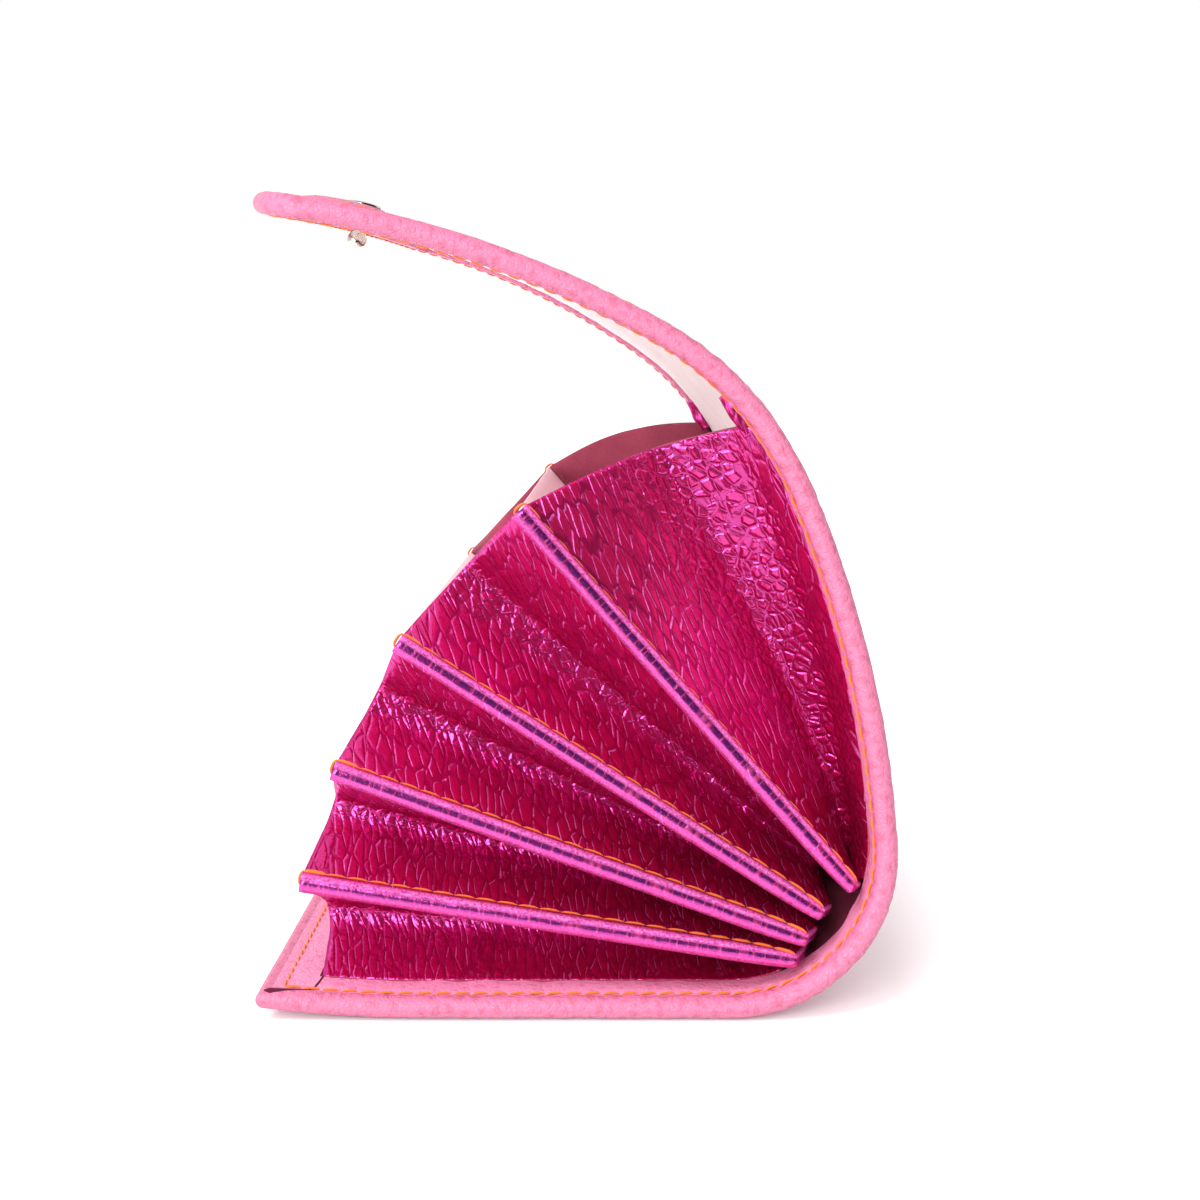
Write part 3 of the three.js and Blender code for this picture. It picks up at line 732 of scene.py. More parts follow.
# %% [markdown]
# At the two corners of the lip the turned-in border is mitred: the lip's hem lies on the side's hem,
# and its cut edge shows as a dark slit that gapes towards the tip. A narrow dark ribbon that hugs the
# hem draws that slit, its colour the cut edge with painted shade in the gap, because the sheet of the
# cover is too coarse for so thin a line.

# %% Cut the mitres
MITRE = [
    # along from the lip, in from the side, and half the slit's width, all in mm
    (11.0, 10.45, 0.16), (10.8, 7.4, 0.18), (10.4, 4.6, 0.18), (9.6, 3.1, 0.15), (7.6, 2.4, 0.2),
    (5.6, 1.9, 0.3), (3.9, 1.45, 0.5), (2.5, 1.15, 0.5), (1.5, 1.0, 0.12),
]
MITRE_PROUD = 0.05
MITRE_THICK = 0.1
# A dark line that parts the two hems: the cut edge, with painted shade in the slit.
CUT_EDGE_AND_SLIT_SHADE = suede("dark cut edge with painted slit shade", "#5c1630", "#440e22", 0.5, 0.0)


def mitre_slit(name, side):
    """The slit at one corner of the lip. side is -1 at the near end and 1 at the far end."""
    bm = flat_sheet(list(range(len(MITRE))), [-1, 0, 1])
    keep_flat_measure(bm)
    for vert in bm.verts:
        step = round(vert.co.x)
        along, inset, wide = MITRE[step]
        before, after = MITRE[max(step - 1, 0)], MITRE[min(step + 1, len(MITRE) - 1)]
        run = Vector((after[0] - before[0], after[1] - before[1])).normalized()
        along -= run.y * wide * vert.co.y
        inset += run.x * wide * vert.co.y
        across = side * (half - inset)
        depth = inner_depth(along, across, edge_distance(along, across)) + MITRE_PROUD
        vert.co = cover_point(along, depth, across)
    thicken(finish_piece(bm, name, [CUT_EDGE_AND_SLIT_SHADE]), MITRE_THICK)


mitre_slit("mitre_near", -1)
mitre_slit("mitre_far", 1)

# %% [markdown]
# ## The flap's lining
# The inside of the back panel and flap is lined with pale suede, and the lining's foot turns in at
# the spine to close the last pocket. A single sheet follows the cover at a steady depth, and
# a Solidify modifier gives it the thickness of the hide.

# %% Lay the lining
LINING_THICK = 1.1
LINING_DEPTH = 2.45
LINING_SLACK = 0.25
LINING_FOOT = 127.4
LINING_TIP_DEPTH = 8.0
LINING_TURN_IN = LINING_TIP_DEPTH - LINING_DEPTH
LINING_TAPER = 0.24
LINING_TAPER_LENGTH = 8
LINING_EDGE = 10.9


def lining_place(along, across):
    """The lining from the tip of its foot, at along 0, round the bend and up to the flap's hem."""
    fuzz = 0.22 * wander(along / 3, across / 3, 5.2) + 0.18 * wander(along / 11, across / 11, 2.9)
    into_foot = (LINING_TURN_IN + LINING_TAPER_LENGTH - along) / LINING_TAPER_LENGTH
    across *= 1 - LINING_TAPER * min(max(into_foot, 0), 1)
    if along < LINING_TURN_IN:
        return cover_point(LINING_FOOT, LINING_TIP_DEPTH - along, across)
    laid = LINING_FOOT + along - LINING_TURN_IN
    last = flap_end(across) - LINING_EDGE
    total = flap_end(0) - LINING_EDGE - LINING_FOOT
    laid = LINING_FOOT + (laid - LINING_FOOT) * (last - LINING_FOOT) / total
    return cover_point(laid, LINING_DEPTH + LINING_SLACK + fuzz, across)


laid_length = LINING_TURN_IN + flap_end(0) - LINING_EDGE - LINING_FOOT
lining_rows = [*steps(0, LINING_TURN_IN, 1.2), *steps(LINING_TURN_IN, laid_length, 1.6), laid_length]
lining_half = half - LINING_EDGE
bm = flat_sheet(lining_rows, [*steps(-lining_half, lining_half, 2.2), lining_half])
keep_flat_measure(bm)
for vert in bm.verts:
    vert.co = lining_place(vert.co.x, vert.co.y)
piece = finish_piece(bm, "flap_lining", [LINING_SUEDE], ["flap_lining"])
thicken(piece, LINING_THICK)

# %% [markdown]
# ## The dividers
# Four leaves of pale leather fan out from the spine and part the five pockets. Each is sewn into
# the pleats at both ends, and a short foot at the inner end closes its pocket. They are plain sheets
# too, with a slight wave, because leather that hangs between two seams is never quite flat.

# %% Make the dividers
DIVIDER_LENGTH = 93.5
DIVIDER_THICK = 1.0
DIVIDER_EDGE = 10.8
FOOT_OVERRUN = 1.6
FOOT_CLEAR = 1.2
FOOT_TAPER = 0.32
FOOT_TAPER_LENGTH = 5
DIVIDER_WAVE = 0.45
WAVE_LENGTH = 30
WAVE_FADE = 12
DIVIDERS = [
    # name, where the inner end lies from the lip in mm, and how steeply the leaf rises in degrees
    ("divider_1", 100.4, 10.2, 9.3),
    ("divider_2", 102.3, 14.3, 20.2),
    ("divider_3", 105.1, 19.4, 33.1),
    ("divider_4", 111.0, 24.5, 48.7),
]
SPINE_RADIUS = COVER_BENDS[1][1] / radians(COVER_BENDS[1][2])
SPINE_CENTRE = Vector((COVER_BENDS[0][1], SPINE_RADIUS))


def divider_point(divider, share):
    """A divider in the side view, this share of the way from its open end to its inner end."""
    _, inner_x, inner_z, rise = divider
    back = DIVIDER_LENGTH * (1 - share)
    return Vector((inner_x - back * cos(radians(rise)), inner_z + back * sin(radians(rise))))


def divider_seat(index):
    """Where the foot of a divider points to: the end of the one below, or the spine."""
    overrun = 1 + FOOT_OVERRUN / DIVIDER_LENGTH
    if index:
        return divider_point(DIVIDERS[index - 1], overrun)
    outward = (divider_point(DIVIDERS[0], overrun) - SPINE_CENTRE).normalized()
    return SPINE_CENTRE + outward * (SPINE_RADIUS - PANEL_THICK)


for index, divider in enumerate(DIVIDERS):
    leaf = DIVIDER_LENGTH + FOOT_OVERRUN
    end = divider_point(divider, leaf / DIVIDER_LENGTH)
    to_seat = divider_seat(index) - end
    foot = to_seat.length - FOOT_CLEAR
    side = half - DIVIDER_EDGE
    rows = [*steps(0, leaf, 2), *steps(leaf, leaf + foot, 0.8), leaf + foot]
    bm = flat_sheet(rows, [*steps(-side, side, 2.2), side])
    keep_flat_measure(bm)
    slope = radians(divider[3])
    for vert in bm.verts:
        along, across, _ = vert.co
        wave = DIVIDER_WAVE * wander(along / WAVE_LENGTH, across / WAVE_LENGTH, index + 0.5)
        wave *= min(1, (side - abs(across)) / WAVE_FADE)
        spot = divider_point(divider, min(along, leaf) / DIVIDER_LENGTH)
        if along > leaf:
            spot = spot + to_seat.normalized() * (along - leaf)
            wave = 0
        across *= 1 - FOOT_TAPER * min(max((along - leaf + FOOT_TAPER_LENGTH) / FOOT_TAPER_LENGTH, 0), 1)
        vert.co = in_frame(spot.x + wave * sin(slope), across, spot.y + wave * cos(slope))
    piece = finish_piece(bm, divider[0], [DIVIDER_LEATHER], [divider[0]])
    thicken(piece, DIVIDER_THICK)

# %% [markdown]
# ## The gussets
# A gusset is one strip of foil leather at each end of the wallet. Where it meets a divider it is
# pinched into a pleat and sewn through, and between two pleats it folds inward like a bellows.
# The strip is a grid again. Its columns follow the profile of pleats and folds, and its rows run from
# the open end of the pockets to the spine. Each fold is a line through its corners, which are
# softened by averaging the line near them: a V with a soft tip and a slack shoulder beside it.

# %% Sizes of the gussets
PLEAT_FRONT = 3.0
PLEAT_BASE = 7.0
LEAF_THICK = 1.0
FOLDS = [
    # length of a leaf in mm, places of the tip and of the slack shoulder between the two lines,
    # and how far the shoulder stands out from the tip in mm
    (23, 0.52, 0.26, 3.0),
    (23, 0.52, 0.26, 3.0),
    (23, 0.52, 0.26, 3.0),
    (23, 0.52, 0.26, 3.0),
    (25, 0.60, 0.88, 4.0),
]
POCKET_PEBBLES = [0.45, 0.3, 0.1, 0.0, 0.0]  # how slack each pocket's grain is, from the front panel on
FOLD_SOFTNESS = 2.2
WIDE_POCKET = 30
SHALLOWEST_FOLD = 8
PLEAT_BEAD = 1.42
BEAD_TAPER = 0.4
BEAD_TAPER_FROM = 0.86
BEAD_TAPER_OVER = 0.14
BEAD_ARC = 16
PLEAT_ABOVE = 1.0
PLEAT_BELOW = 0.8
# The rows beyond the inner end: share of the divider's length, and how far they are tucked in, in mm.
END_ROWS = [(1.002, 0.6), (1.006, 1.6), (1.012, 3.0), (1.02, 5.0), (1.03, 7.5)]
# Where a gusset starts and ends along the cover, in mm. -1 is the near end of the wallet, 1 the far end.
GUSSET_ON_FRONT = (10.8, 100.6)
GUSSET_ON_BACK = {-1: (223, 129), 1: (219.5, 129)}
MOUTH_BOW = {-1: 1.6, 1: 4.0}
MOUTH_BOW_REACH = 0.35
GUSSET_CLEAR = 0.3
GUSSET_DEPTH = PANEL_THICK + GUSSET_CLEAR + LEAF_THICK / 2
LEAF_STEPS = 54
FINE_STEPS = 160
PLEAT_STEPS = 16
POCKET_STEPS = LEAF_STEPS + PLEAT_STEPS
print("columns of a gusset:", len(FOLDS) * POCKET_STEPS - PLEAT_STEPS + 1)

# %% [markdown]
# A row of the strip is drawn in the side view, and each point also gets its distance in from the
# wallet's end. It goes from the front panel over the four dividers to the back panel: a fold, a pleat,
# a fold, and so on. The depth of a fold follows from the length of its leaves and the room
# between its two lines, so the folds get deeper towards the spine as they do in a real bellows.


# %% Profile of the gussets
def gusset_lines(share, side):
    """The six lines that a gusset hangs on in the side view: front panel, dividers, back panel."""
    def on_cover(ends):
        """A place on the inner face of the cover, between the two ends of the gusset's line there."""
        spot = cover_station(ends[0] + (ends[1] - ends[0]) * share, 0)
        return Vector((spot[0] - GUSSET_DEPTH * sin(spot[2]), spot[1] + GUSSET_DEPTH * cos(spot[2])))
    between = [divider_point(divider, share) for divider in DIVIDERS]
    return [on_cover(GUSSET_ON_FRONT), *between, on_cover(GUSSET_ON_BACK[side])]


def evenly(points, count):
    """The same line, through count + 1 points that are equally far apart."""
    lengths = [0.0]
    for a, b in zip(points, points[1:]):
        lengths.append(lengths[-1] + (b - a).length)
    found = []
    for i in range(count + 1):
        far = lengths[-1] * i / count
        k = min(max(bisect(lengths, far), 1), len(points) - 1)
        share = (far - lengths[k - 1]) / max(lengths[k] - lengths[k - 1], 1e-9)
        found.append(points[k - 1].lerp(points[k], share))
    return found


def fold_curve(corners):
    """A fold through its corners. Each corner is softened by averaging the line near it."""
    line = evenly(corners, FINE_STEPS)
    pitch = (line[1] - line[0]).length
    sums = [Vector((0, 0, 0))]
    for spot in line:
        sums.append(sums[-1] + spot)
    soft = []
    for i in range(FINE_STEPS + 1):
        reach = min(round(FOLD_SOFTNESS / pitch), i, FINE_STEPS - i)
        soft.append((sums[i + reach + 1] - sums[i - reach]) / (2 * reach + 1))
    return evenly(soft, LEAF_STEPS)


def bead_round(share):
    """The radius of a pleat's bead, which tapers towards the spine."""
    tapered = min(max((share - BEAD_TAPER_FROM) / BEAD_TAPER_OVER, 0), 1) ** 2
    return PLEAT_BEAD * (1 - BEAD_TAPER * tapered)


def pleat_curve(line, up, bead):
    """Round the bead of a pleat, from its lower base to its upper one, half a hide inside its skin."""
    front = PLEAT_FRONT + LEAF_THICK / 2 + bead
    arc = [(-PLEAT_BELOW, PLEAT_BASE)]
    turns = [pi * i / BEAD_ARC for i in range(BEAD_ARC + 1)]
    arc += [(-bead * cos(turn), front - bead * sin(turn)) for turn in turns]
    arc += [(PLEAT_ABOVE, PLEAT_BASE)]
    return evenly([Vector((*(line + up * rise), inset)) for rise, inset in arc], PLEAT_STEPS)


def gusset_profile(share, side):
    """One row of the strip: points of the side view, each with its distance in from the wallet's end."""
    lines = gusset_lines(share, side)
    ups = [Vector((sin(radians(d[3])), cos(radians(d[3])))) for d in DIVIDERS]
    row = []
    for i, (leaf, tip, shoulder, slack) in enumerate(FOLDS):
        first, last = i == 0, i == len(FOLDS) - 1
        low = lines[i] + (Vector((0, 0)) if first else ups[i - 1] * PLEAT_ABOVE)
        high = lines[i + 1] - (Vector((0, 0)) if last else ups[i] * PLEAT_BELOW)
        gap = (high - low).length
        deep = PLEAT_BASE + sqrt(max(leaf ** 2 - (gap / 2) ** 2, SHALLOWEST_FOLD ** 2))
        inset = [HEM_WIDTH + GUSSET_CLEAR if end else PLEAT_BASE for end in (first, last)]
        middle = [(tip, deep), (shoulder, deep - slack * min(1, gap / WIDE_POCKET))]
        corners = [(0, inset[0]), *sorted(middle), (1, inset[1])]
        fold = fold_curve([Vector((*low.lerp(high, place), depth)) for place, depth in corners])
        if last:
            away = Vector((low.y - high.y, high.x - low.x, 0)).normalized()
            bow = MOUTH_BOW[side] * max(0, 1 - share / MOUTH_BOW_REACH) ** 2
            fold = [spot + away * bow * sin(pi * k / LEAF_STEPS) for k, spot in enumerate(fold)]
        row += fold if first else fold[1:]
        if not last:
            row += pleat_curve(lines[i + 1], ups[i], bead_round(share))[1:]
    return row


# %% Rows of the gussets
GUSSET_ROWS = 104


def gusset_rows(side):
    """All rows of a strip, with a few more at the spine where it is tucked in."""
    rows = [gusset_profile(row / GUSSET_ROWS, side) for row in range(GUSSET_ROWS + 1)]
    for share, tucked in END_ROWS:
        rows.append([spot + Vector((0, 0, tucked)) for spot in gusset_profile(share, side)])
    return rows


PROFILES = {side: gusset_rows(side) for side in (-1, 1)}
flat_across = [0.0]
for a, b in zip(PROFILES[-1][0], PROFILES[-1][0][1:]):
    flat_across.append(flat_across[-1] + (b - a).length)
flat_along = [DIVIDER_LENGTH * row / GUSSET_ROWS for row in range(GUSSET_ROWS + 1)]
flat_along += [DIVIDER_LENGTH * share + tucked for share, tucked in END_ROWS]
print("gusset strip, flat:", round(flat_across[-1]), "mm by", DIVIDER_LENGTH, "mm")

# %% [markdown]
# What the leather looks like depends on where it lies in the fold. On the edge of a pleat a dark
# reflection is painted, and on the front beside it a highlight; the leaves are taut and the tips crumpled.
# Most of these are soft bumps over the columns of the strip, so they fade out into the next.
# Only the pressed pleats begin at a line, and that is where the strip is sewn through.

# %% Where the grain changes
CROWN_OFF = 0.4
BEAD_BELOW = (6.4, 2.4)  # middle and half width, in columns of the pleat
BEAD_ABOVE = (10.2, 0.9)
BEAD_BELOW_HIGHLIGHT = 0.3
PRESSED_GRAIN = 0.08
TIP_REACH = 0.16
BAND = (0.72, 0.2)  # middle and half width, in shares of the last pocket's leaves
TIP_LOOSENESS = 0.75
LOOSE_RELIEF = 1.4


def crown_painted_dark(column):
    """1 along the folded edge of a pleat, where a dark reflection is painted, and 0 elsewhere."""
    place = column % POCKET_STEPS - LEAF_STEPS
    return exp(-(place - PLEAT_STEPS / 2 - CROWN_OFF) ** 4)


def bead_painted_highlight(column):
    """1 round the front of a pleat, where a highlight is painted, and 0 elsewhere."""
    place = column % POCKET_STEPS - LEAF_STEPS
    below = BEAD_BELOW_HIGHLIGHT * exp(-((place - BEAD_BELOW[0]) / BEAD_BELOW[1]) ** 6)
    above = exp(-((place - BEAD_ABOVE[0]) / BEAD_ABOVE[1]) ** 4)
    return min(1, below + above)


def on_leaf(column):
    """1 on the leaves, where the grain stands out, and little on the pleats, which are pressed smooth."""
    place = column % POCKET_STEPS
    return 1.0 if place <= LEAF_STEPS else PRESSED_GRAIN


def near_tip(column):
    """1 at the tip of a fold, where the leather is crumpled, falling to 0 on the leaves and pleats."""
    place = column % POCKET_STEPS
    return exp(-((place / LEAF_STEPS - 0.5) / TIP_REACH) ** 2)


def in_band(column):
    """1 in the slack band of the last pocket, beside the back panel, and 0 elsewhere."""
    place = (column - (len(FOLDS) - 1) * POCKET_STEPS) / LEAF_STEPS
    return exp(-((place - BAND[0]) / BAND[1]) ** 6)


def looseness(column):
    """0 where the leather is taut and its grain drawn out, up to 1 where it is slack, with round plates."""
    return max(TIP_LOOSENESS * near_tip(column), in_band(column), POCKET_PEBBLES[column // POCKET_STEPS])


print("slackest columns:", sum(looseness(column) > 0.5 for column in range(len(flat_across))))


# %% Fold the gussets
def crumple(along, across, column):
    """How far the strip stands off its smooth fold: drawn wrinkles on the leaves, crumples in the tip."""
    place = column % POCKET_STEPS
    # Each wrinkle has a height, and a length along and across the strip, all in mm.
    if place > LEAF_STEPS:
        return 0.03 * wander(along / 2.5, across / 2.5, 4.4)
    free = sin(pi * place / LEAF_STEPS)
    drawn = 0.06 * free * wander(along / 3.2, across / 9, 6.6)
    broad = 0.3 * free * wander(along / 14, across / 11, 9.2)
    return drawn + broad + 0.2 * near_tip(column) * wander(along / 2.6, across / 2.6, 7.7)


def make_gusset(name, side):
    """Folds one strip: flat first, with its marks, then on its profile, then crumpled along its normals."""
    bm = flat_sheet(list(range(len(flat_along))), list(range(len(flat_across))))
    crown, slack, leaf, bead = [bm.verts.layers.float.new(mark) for mark in GRAIN_AND_LIGHT_MARKS]
    where = {vert: (round(vert.co.x), round(vert.co.y)) for vert in bm.verts}
    for vert, (row, column) in where.items():
        vert.co = (flat_along[row], flat_across[column], 0)
        vert[crown] = crown_painted_dark(column)
        vert[slack] = looseness(column)
        vert[leaf] = on_leaf(column) * (1 + LOOSE_RELIEF * looseness(column))
        vert[bead] = bead_painted_highlight(column)
    keep_flat_measure(bm)
    flat = {vert: vert.co.copy() for vert in bm.verts}
    for vert, (row, column) in where.items():
        x, z, inset = PROFILES[side][row][column]
        vert.co = in_frame(x, side * (half - inset), z)
    bm.normal_update()
    shifts = {vert: vert.normal * crumple(*flat[vert].xy, where[vert][1]) * MM for vert in bm.verts}
    for vert, shift in shifts.items():
        vert.co += shift
    piece = finish_piece(bm, name, [GUSSET_FOIL, GUSSET_FLESH], [name])
    if piece.data.polygons[0].normal.y * side < 0:
        piece.data.flip_normals()
    return thicken(piece, LEAF_THICK, flesh=True)


make_gusset("gusset_near", -1)
make_gusset("gusset_far", 1)

# %% [markdown]
# Beyond its open end the strip runs on for a few millimetres along the back panel's hem: its edge is
# turned under there and makes a small folded tab. A tab is a sheet bent to a U across its width.

# %% Fold the tabs
TAB_LENGTH = 9.5
TAB_OVERLAP = 1.5
TAB_THICK = 0.6
# The crown mark puts a little of the pleats' painted dark reflection on the tab.
TAB_MARKS = (("leaf", 0.8), ("crown", 0.4))
TAB_FOLD = [
    # depth under the cover's outer face and distance in from its side, both in mm
    (3.3, 13.2), (4.6, 12.9), (5.5, 12.4), (5.8, 11.9), (5.5, 11.4), (4.6, 11.0), (3.3, 10.9),
]
TAB_SEAT = TAB_FOLD[0][0]


def make_tab(name, side):
    """One tab, tapered and creased, on the back panel's hem."""
    bm = flat_sheet([*steps(0, TAB_LENGTH, 0.5), TAB_LENGTH], list(range(len(TAB_FOLD))))
    crosswise = [e for e in bm.edges if abs(e.verts[0].co.y - e.verts[1].co.y) > 0.5]
    bmesh.ops.subdivide_edges(bm, edges=crosswise, cuts=1)
    keep_flat_measure(bm)
    for mark, value in TAB_MARKS:
        layer = bm.verts.layers.float.new(mark)
        for vert in bm.verts:
            vert[layer] = value
    start = GUSSET_ON_BACK[side][0] - TAB_OVERLAP
    for vert in bm.verts:
        along, step, _ = vert.co
        first = min(int(step), len(TAB_FOLD) - 2)
        depth, inset = [a + (b - a) * (step - first) for a, b in zip(TAB_FOLD[first], TAB_FOLD[first + 1])]
        taper = 1 - 0.5 * (along / TAB_LENGTH) ** 2
        crease = 0.35 * wander(along / 2.2, step / 1.6, 11.3 + side)
        inset += 0.3 * wander(along / 1.8, step / 1.2, 14.9 + side)
        raised = TAB_SEAT + (depth - TAB_SEAT + crease) * taper
        vert.co = cover_point(start + along, raised, side * (half - inset))
    piece = finish_piece(bm, name, [GUSSET_FOIL, GUSSET_FLESH])
    return thicken(piece, TAB_THICK, flesh=True)


make_tab("gusset_tab_near", -1)
make_tab("gusset_tab_far", 1)

# %% [markdown]
# ## The seams of the pleats
# Each pleat is sewn through behind its folded edge. The thread goes round the open end of
# the pleat twice to lock it, and the last stitches at the spine are sewn over once more.

# %% Sew the pleats
PLEAT_SEAM_IN = 6.7
PLEAT_PITCH = 4.0
SEAM_DRAWN = 2.0
SEAM_DRAWN_FROM = 0.84
SEAM_DRAWN_OVER = 0.16
PLEAT_SLANT = 0.14
LOCK_THREAD = 0.4
LOCK_OFFS = (-0.5, 0.3)
LOCK_START = -0.006
LOCK_END = 0.05
LOCKED_LENGTH = 22
THREAD_LIFT = 0.25
PLEAT_THREAD = 0.25


def sew_pleat(bm, divider, side):
    """Sews one pleat on both faces, with its thread locks. Places are shares of the divider's length."""
    slope = radians(divider[3])
    up = Vector((sin(slope), 0, cos(slope)))

    def at(share, face, off):
        """A place of the seam on the upper or lower face of the pleat, off mm to its side."""
        spot = divider_point(divider, share)
        drawn = min(max((share - SEAM_DRAWN_FROM) / SEAM_DRAWN_OVER, 0), 1) ** 2
        base = PLEAT_ABOVE + THREAD_LIFT if face > 0 else PLEAT_BELOW
        rise = LEAF_THICK / 2 + base + (bead_round(share) - PLEAT_ABOVE) * drawn
        inset = PLEAT_SEAM_IN - SEAM_DRAWN * drawn + off
        return in_frame(spot.x, side * (half - inset), spot.y) + up * face * rise * MM

    paces = round(DIVIDER_LENGTH / PLEAT_PITCH)
    for face in (1, -1):
        for i in range(paces):
            a, b = (i - 0.03) / paces, (i + 1.03) / paces
            sew(bm, at(a, face, -PLEAT_SLANT), at(b, face, PLEAT_SLANT), up * face, PLEAT_THREAD)
            if (1 - a) * DIVIDER_LENGTH < LOCKED_LENGTH:
                sew(bm, at(a, face, -0.6), at(b, face, -0.3), up * face, THREAD_ROUND)
        for off in LOCK_OFFS:
            sew(bm, at(LOCK_START, face, off), at(LOCK_END, face, off), up * face, LOCK_THREAD)
    for off in LOCK_OFFS:
        open_end = at(0, 1, off) - at(0.1, 1, off)
        sew(bm, at(LOCK_START, 1, off), at(LOCK_START, -1, off), open_end, LOCK_THREAD)


for name, side in (("pleat_stitches_near", -1), ("pleat_stitches_far", 1)):
    bm = bmesh.new()
    for divider in DIVIDERS:
        sew_pleat(bm, divider, side)
    finish_piece(bm, name, [THREAD])

# %% [markdown]
# A second seam goes round the raised oval on the flap and holds the press stud's stiffener.

# %% Sew the oval
OVAL_SHARE = 0.86
OVAL_POINTS = 72
OVAL_THREAD_SUNK = 0.1
oval = []
for i in range(OVAL_POINTS + 1):
    turn = 2 * pi * i / OVAL_POINTS
    oval.append((flap_end(0) - PATCH_FROM_END + OVAL_SHARE * PATCH_HALF_LENGTH * cos(turn),
                 OVAL_SHARE * PATCH_HALF_WIDTH * sin(turn)))
oval_seam = pace(oval, STITCH_PITCH)
bm = bmesh.new()
for a, b in zip(oval_seam, oval_seam[1:]):
    start, end = [cover_point(spot[0], -patch_rise(*spot) + OVAL_THREAD_SUNK, spot[1]) for spot in (a, b)]
    heading = cover_station(a[0], 0)[2]
    sew(bm, start.lerp(end, 0.05), start.lerp(end, 0.95), Vector((sin(heading), 0, -cos(heading))))
finish_piece(bm, "oval_stitches", [THREAD])

# %% [markdown]
# ## The press stud
# A press stud holds the flap: a domed cap on the outside, a ball-headed stud under it, and a ring
# socket let into the front panel. They are turned shapes, so each is a profile spun round its axis.


# %% Spin the press stud
SNAP_FROM_TIP = 18.0
SNAP_ALONG = flap_end(0) - SNAP_FROM_TIP
SPIN_STEPS = 32
CAP_SEAT = PATCH_RISE - 0.9
STUD_SEAT = -(LINING_DEPTH + LINING_THICK / 2 + LINING_SLACK)


def spun(profile):
    """A profile of radius and height in mm, spun round z. Points on the axis close it."""
    bm = bmesh.new()
    verts = [bm.verts.new((radius * MM, 0, height * MM)) for radius, height in profile]
    edges = [bm.edges.new(pair) for pair in zip(verts, verts[1:])]
    bmesh.ops.spin(bm, geom=verts + edges, axis=(0, 0, 1), cent=(0, 0, 0), dvec=(0, 0, 0), angle=2 * pi,
                   steps=SPIN_STEPS, use_merge=True, use_normal_flip=False, use_duplicate=False)
    return bm


def dome(radius, base, rise, count=8):
    """A quarter of an ellipse, from its rim to the axis."""
    turns = [pi / 2 * i / count for i in range(count + 1)]
    return [(radius * cos(turn), base + rise * sin(turn)) for turn in turns]


def on_snap_axis(bm):
    """Stands a turned piece on the flap, its height counted from the flap's outer face."""
    x, z, heading = cover_station(SNAP_ALONG, 0)
    turn = Matrix.Rotation(pi - heading, 4, "Y")
    bmesh.ops.transform(bm, matrix=Matrix.Translation(in_frame(x, 0, z)) @ turn, verts=bm.verts)
    return bm


cap = [(0, -2.9), (1.4, -2.9), (1.4, CAP_SEAT), (3.7, CAP_SEAT), (4.0, CAP_SEAT + 0.3),
       *dome(4.0, CAP_SEAT + 0.5, 0.6)]
finish_piece(on_snap_axis(spun(cap)), "snap_cap", [NICKEL], ["snap_cap"])
flange = [(0, 0), (3.9, 0), (4.0, 0.3), (3.8, 0.7), (2.3, 0.8)]
neck = [(1.8, 1.2), (1.8, 2.0), (2.2, 2.7), (2.25, 3.4)]
stud = [*((radius, STUD_SEAT - drop) for radius, drop in flange + neck), *dome(2.2, STUD_SEAT - 3.8, -1.3)]
finish_piece(on_snap_axis(spun(stud)), "snap_stud", [NICKEL], ["snap_stud"])
ring = [(2.6, 0.3), (2.7, 0.2), (5.1, 0.2), (5.3, 0.4), (5.3, 1.1),
        (5.1, 1.3), (2.7, 1.3), (2.6, 1.2), (2.6, 0.3)]
bm = spun(ring)
bmesh.ops.translate(bm, vec=in_frame(SOCKET_FROM_LIP, 0, 0), verts=bm.verts)
finish_piece(bm, "snap_socket", [NICKEL], ["snap_socket"])

# %% [markdown]
# ## Floor, light and camera
# The wallet lies on a plain white table in a white room, as catalogue pictures are taken. The table is
# a wide disc whose faint glow keeps it nearly white, so that only a soft contact shadow is left.

# %% Table and sky
TABLE_RADIUS = 6
TABLE_DROP = 0.2 * MM
TABLE_GLOW = 0.1

paper, tree = new_finish("white table paper")
sheet = add_node(tree, "ShaderNodeBsdfPrincipled", {
    "Base Color": srgb("#f0f0f0"), "Roughness": 0.9,
    "Emission Color": (1, 1, 1, 1), "Emission Strength": TABLE_GLOW})
add_node(tree, "ShaderNodeOutputMaterial", {"Surface": sheet.outputs["BSDF"]})


def stage_piece(name, bm, material):
    """A thing that belongs to the picture and not to the wallet."""
    mesh = bpy.data.meshes.new(name)
    bm.to_mesh(mesh)
    bm.free()
    mesh.materials.append(material)
    piece = bpy.data.objects.new(name, mesh)
    bpy.context.scene.collection.objects.link(piece)
    return piece


bm = bmesh.new()
bmesh.ops.create_circle(bm, cap_ends=True, segments=64, radius=TABLE_RADIUS)
bmesh.ops.translate(bm, vec=(0, 0, -TABLE_DROP), verts=bm.verts)
stage_piece("floor", bm, paper)

world = bpy.data.worlds.new("white studio")
bpy.context.scene.world = world
world.use_nodes = True
world.node_tree.nodes.clear()
sky = add_node(world.node_tree, "ShaderNodeBackground", {"Color": (1, 1, 1, 1), "Strength": 1.0})
add_node(world.node_tree, "ShaderNodeOutputWorld", {"Surface": sky.outputs["Background"]})
print("table of", TABLE_RADIUS, "m under a white sky")

# %% [markdown]
# Two round softboxes in front give the foil its glints. A wide, soft sun from the upper left front, like
# a large window, lights the leather and throws the soft shadow. The foil must not mirror that one.

# %% Softboxes and window
SOFTBOX_SIZE = 0.6
SOFTBOX_WATTS = 9
WINDOW_STRENGTH = 2.8
WINDOW_SPREAD = 35


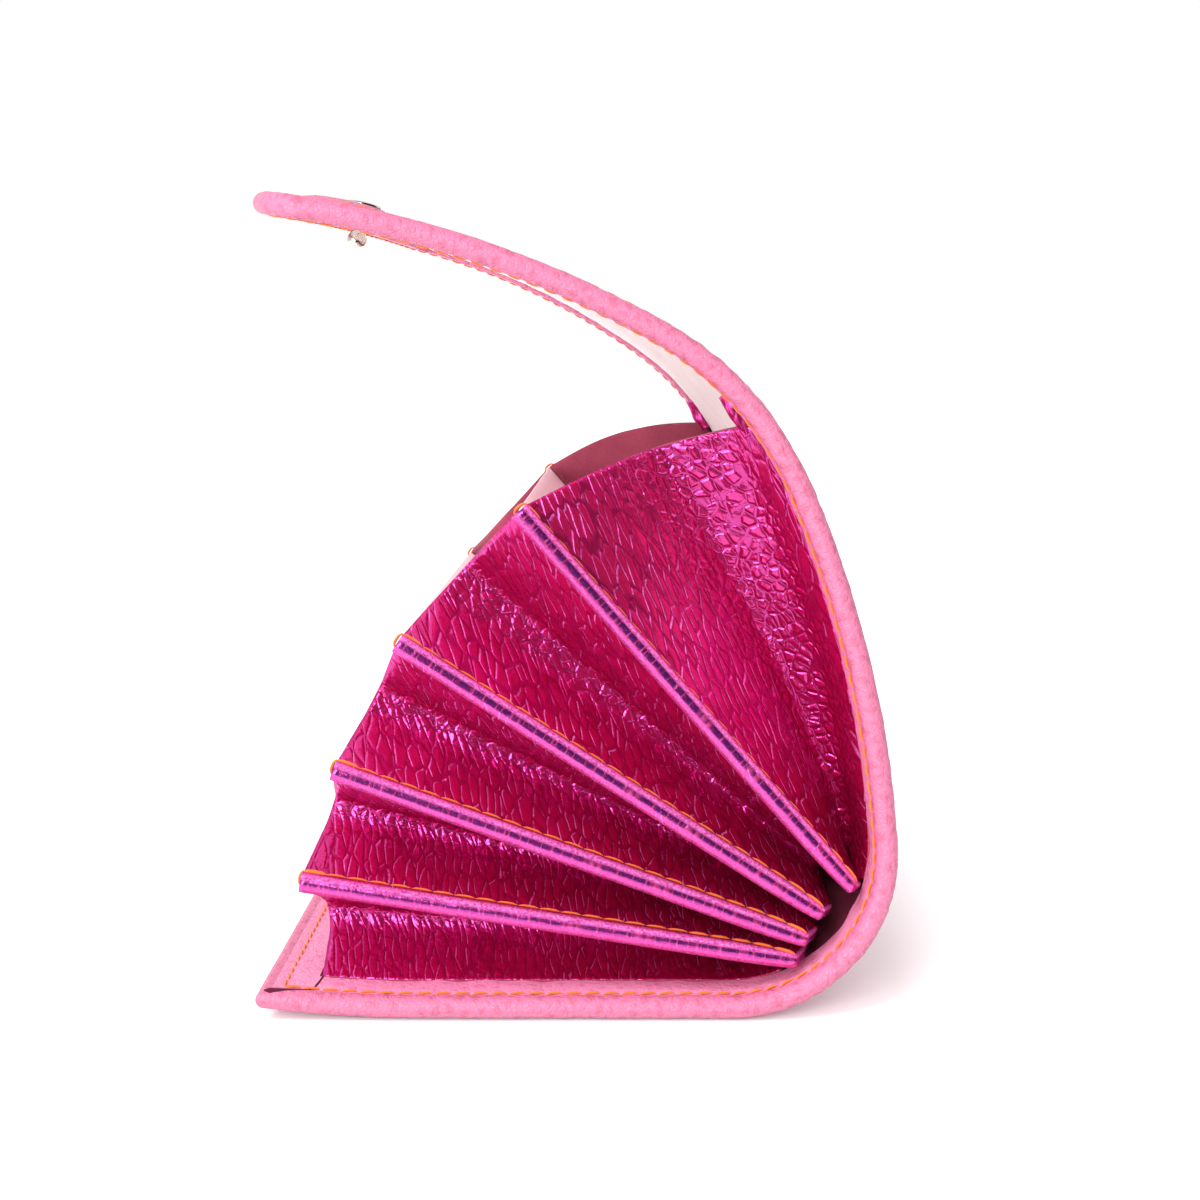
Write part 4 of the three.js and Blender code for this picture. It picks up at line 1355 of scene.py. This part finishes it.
def lamp(name, kind, energy, shines):
    """A lamp that shines in a direction."""
    light = bpy.data.lights.new(name, kind)
    light.energy = energy
    stand = bpy.data.objects.new(name, light)
    stand.rotation_euler = Vector(shines).to_track_quat("-Z", "Y").to_euler()
    bpy.context.scene.collection.objects.link(stand)
    return stand


def softbox(name, place, aim):
    """A round, soft lamp at a place, turned to its aim."""
    box = lamp(name, "AREA", SOFTBOX_WATTS, Vector(aim) - Vector(place))
    box.location = place
    box.data.shape = "DISK"
    box.data.size = SOFTBOX_SIZE


softbox("front softbox", (-0.4, -1.3, 0.7), (0, 0, 0.05))
softbox("low softbox", (-0.85, -1.1, 0.3), (0, 0, 0.07))
window = lamp("front window", "SUN", WINDOW_STRENGTH, (0.4, 0.4, -0.85))
window.data.angle = radians(WINDOW_SPREAD)
window.visible_glossy = False
print("lamps:", len(bpy.data.lights))

# %% [markdown]
# In a room that is white all round, foil would look milky. So black cards stand round it, as
# photographers place them, and give it something dark to mirror. Only reflections see these cards:
# they are not in the picture, throw no shadow and take no light from the leather.

# %% Black cards
FLAGS = [
    # name, size across and deep, and place, all in metres
    ("ceiling flag", (1.9, 1.9), (0.6, -0.3, 1.25)),
    ("front floor flag", (1.76, 1.45), (0.72, -0.925, 0.002)),
    ("right floor flag", (1.2, 1.0), (0.9, 0.05, 0.002)),
]
WALL_START = (-0.5, -1.5)
WALL_HEIGHT = 1.3
WALL_TURN = 125
WALL_STEPS = 24

card, tree = new_finish("black card")
matt = add_node(tree, "ShaderNodeBsdfPrincipled", {"Base Color": srgb("#1c1c1e"), "Roughness": 0.9})
add_node(tree, "ShaderNodeOutputMaterial", {"Surface": matt.outputs["BSDF"]})


def black_flag(name, bm):
    """A black card that only reflections see."""
    flag = stage_piece(name, bm, card)
    flag.visible_camera = False
    flag.visible_shadow = False
    flag.visible_diffuse = False


bm = bmesh.new()
low, high = [bm.verts.new((*WALL_START, height)) for height in (0, WALL_HEIGHT)]
rail = bm.edges.new((low, high))
bmesh.ops.spin(bm, geom=[low, high, rail], axis=(0, 0, 1), cent=(0, 0, 0), dvec=(0, 0, 0),
               angle=radians(WALL_TURN), steps=WALL_STEPS, use_merge=False, use_normal_flip=False,
               use_duplicate=False)
black_flag("wall flag", bm)
for name, size, place in FLAGS:
    bm = bmesh.new()
    bmesh.ops.create_grid(bm, x_segments=1, y_segments=1, size=0.5)
    bmesh.ops.scale(bm, vec=(*size, 1), verts=bm.verts)
    bmesh.ops.translate(bm, vec=place, verts=bm.verts)
    black_flag(name, bm)
print("black cards:", len(FLAGS) + 1)

# %% [markdown]
# The camera looks along the wallet's width from a little above. Its place and focal length were found
# from the outline of the near end and from how much smaller the far edge is in the picture.

# %% Camera
CAMERA_PLACE = (0.00884, -0.3985, 0.1160)
CAMERA_TILT = 83.046

lens = bpy.data.cameras.new("camera")
lens.lens = 50.91
lens.sensor_width = 36
lens.sensor_fit = "HORIZONTAL"
camera = bpy.data.objects.new("camera", lens)
camera.location = CAMERA_PLACE
camera.rotation_euler = (radians(CAMERA_TILT), 0, 0)
bpy.context.scene.collection.objects.link(camera)
bpy.context.scene.camera = camera
bpy.context.scene.view_settings.view_transform = "Standard"
print("camera at", tuple(camera.location))
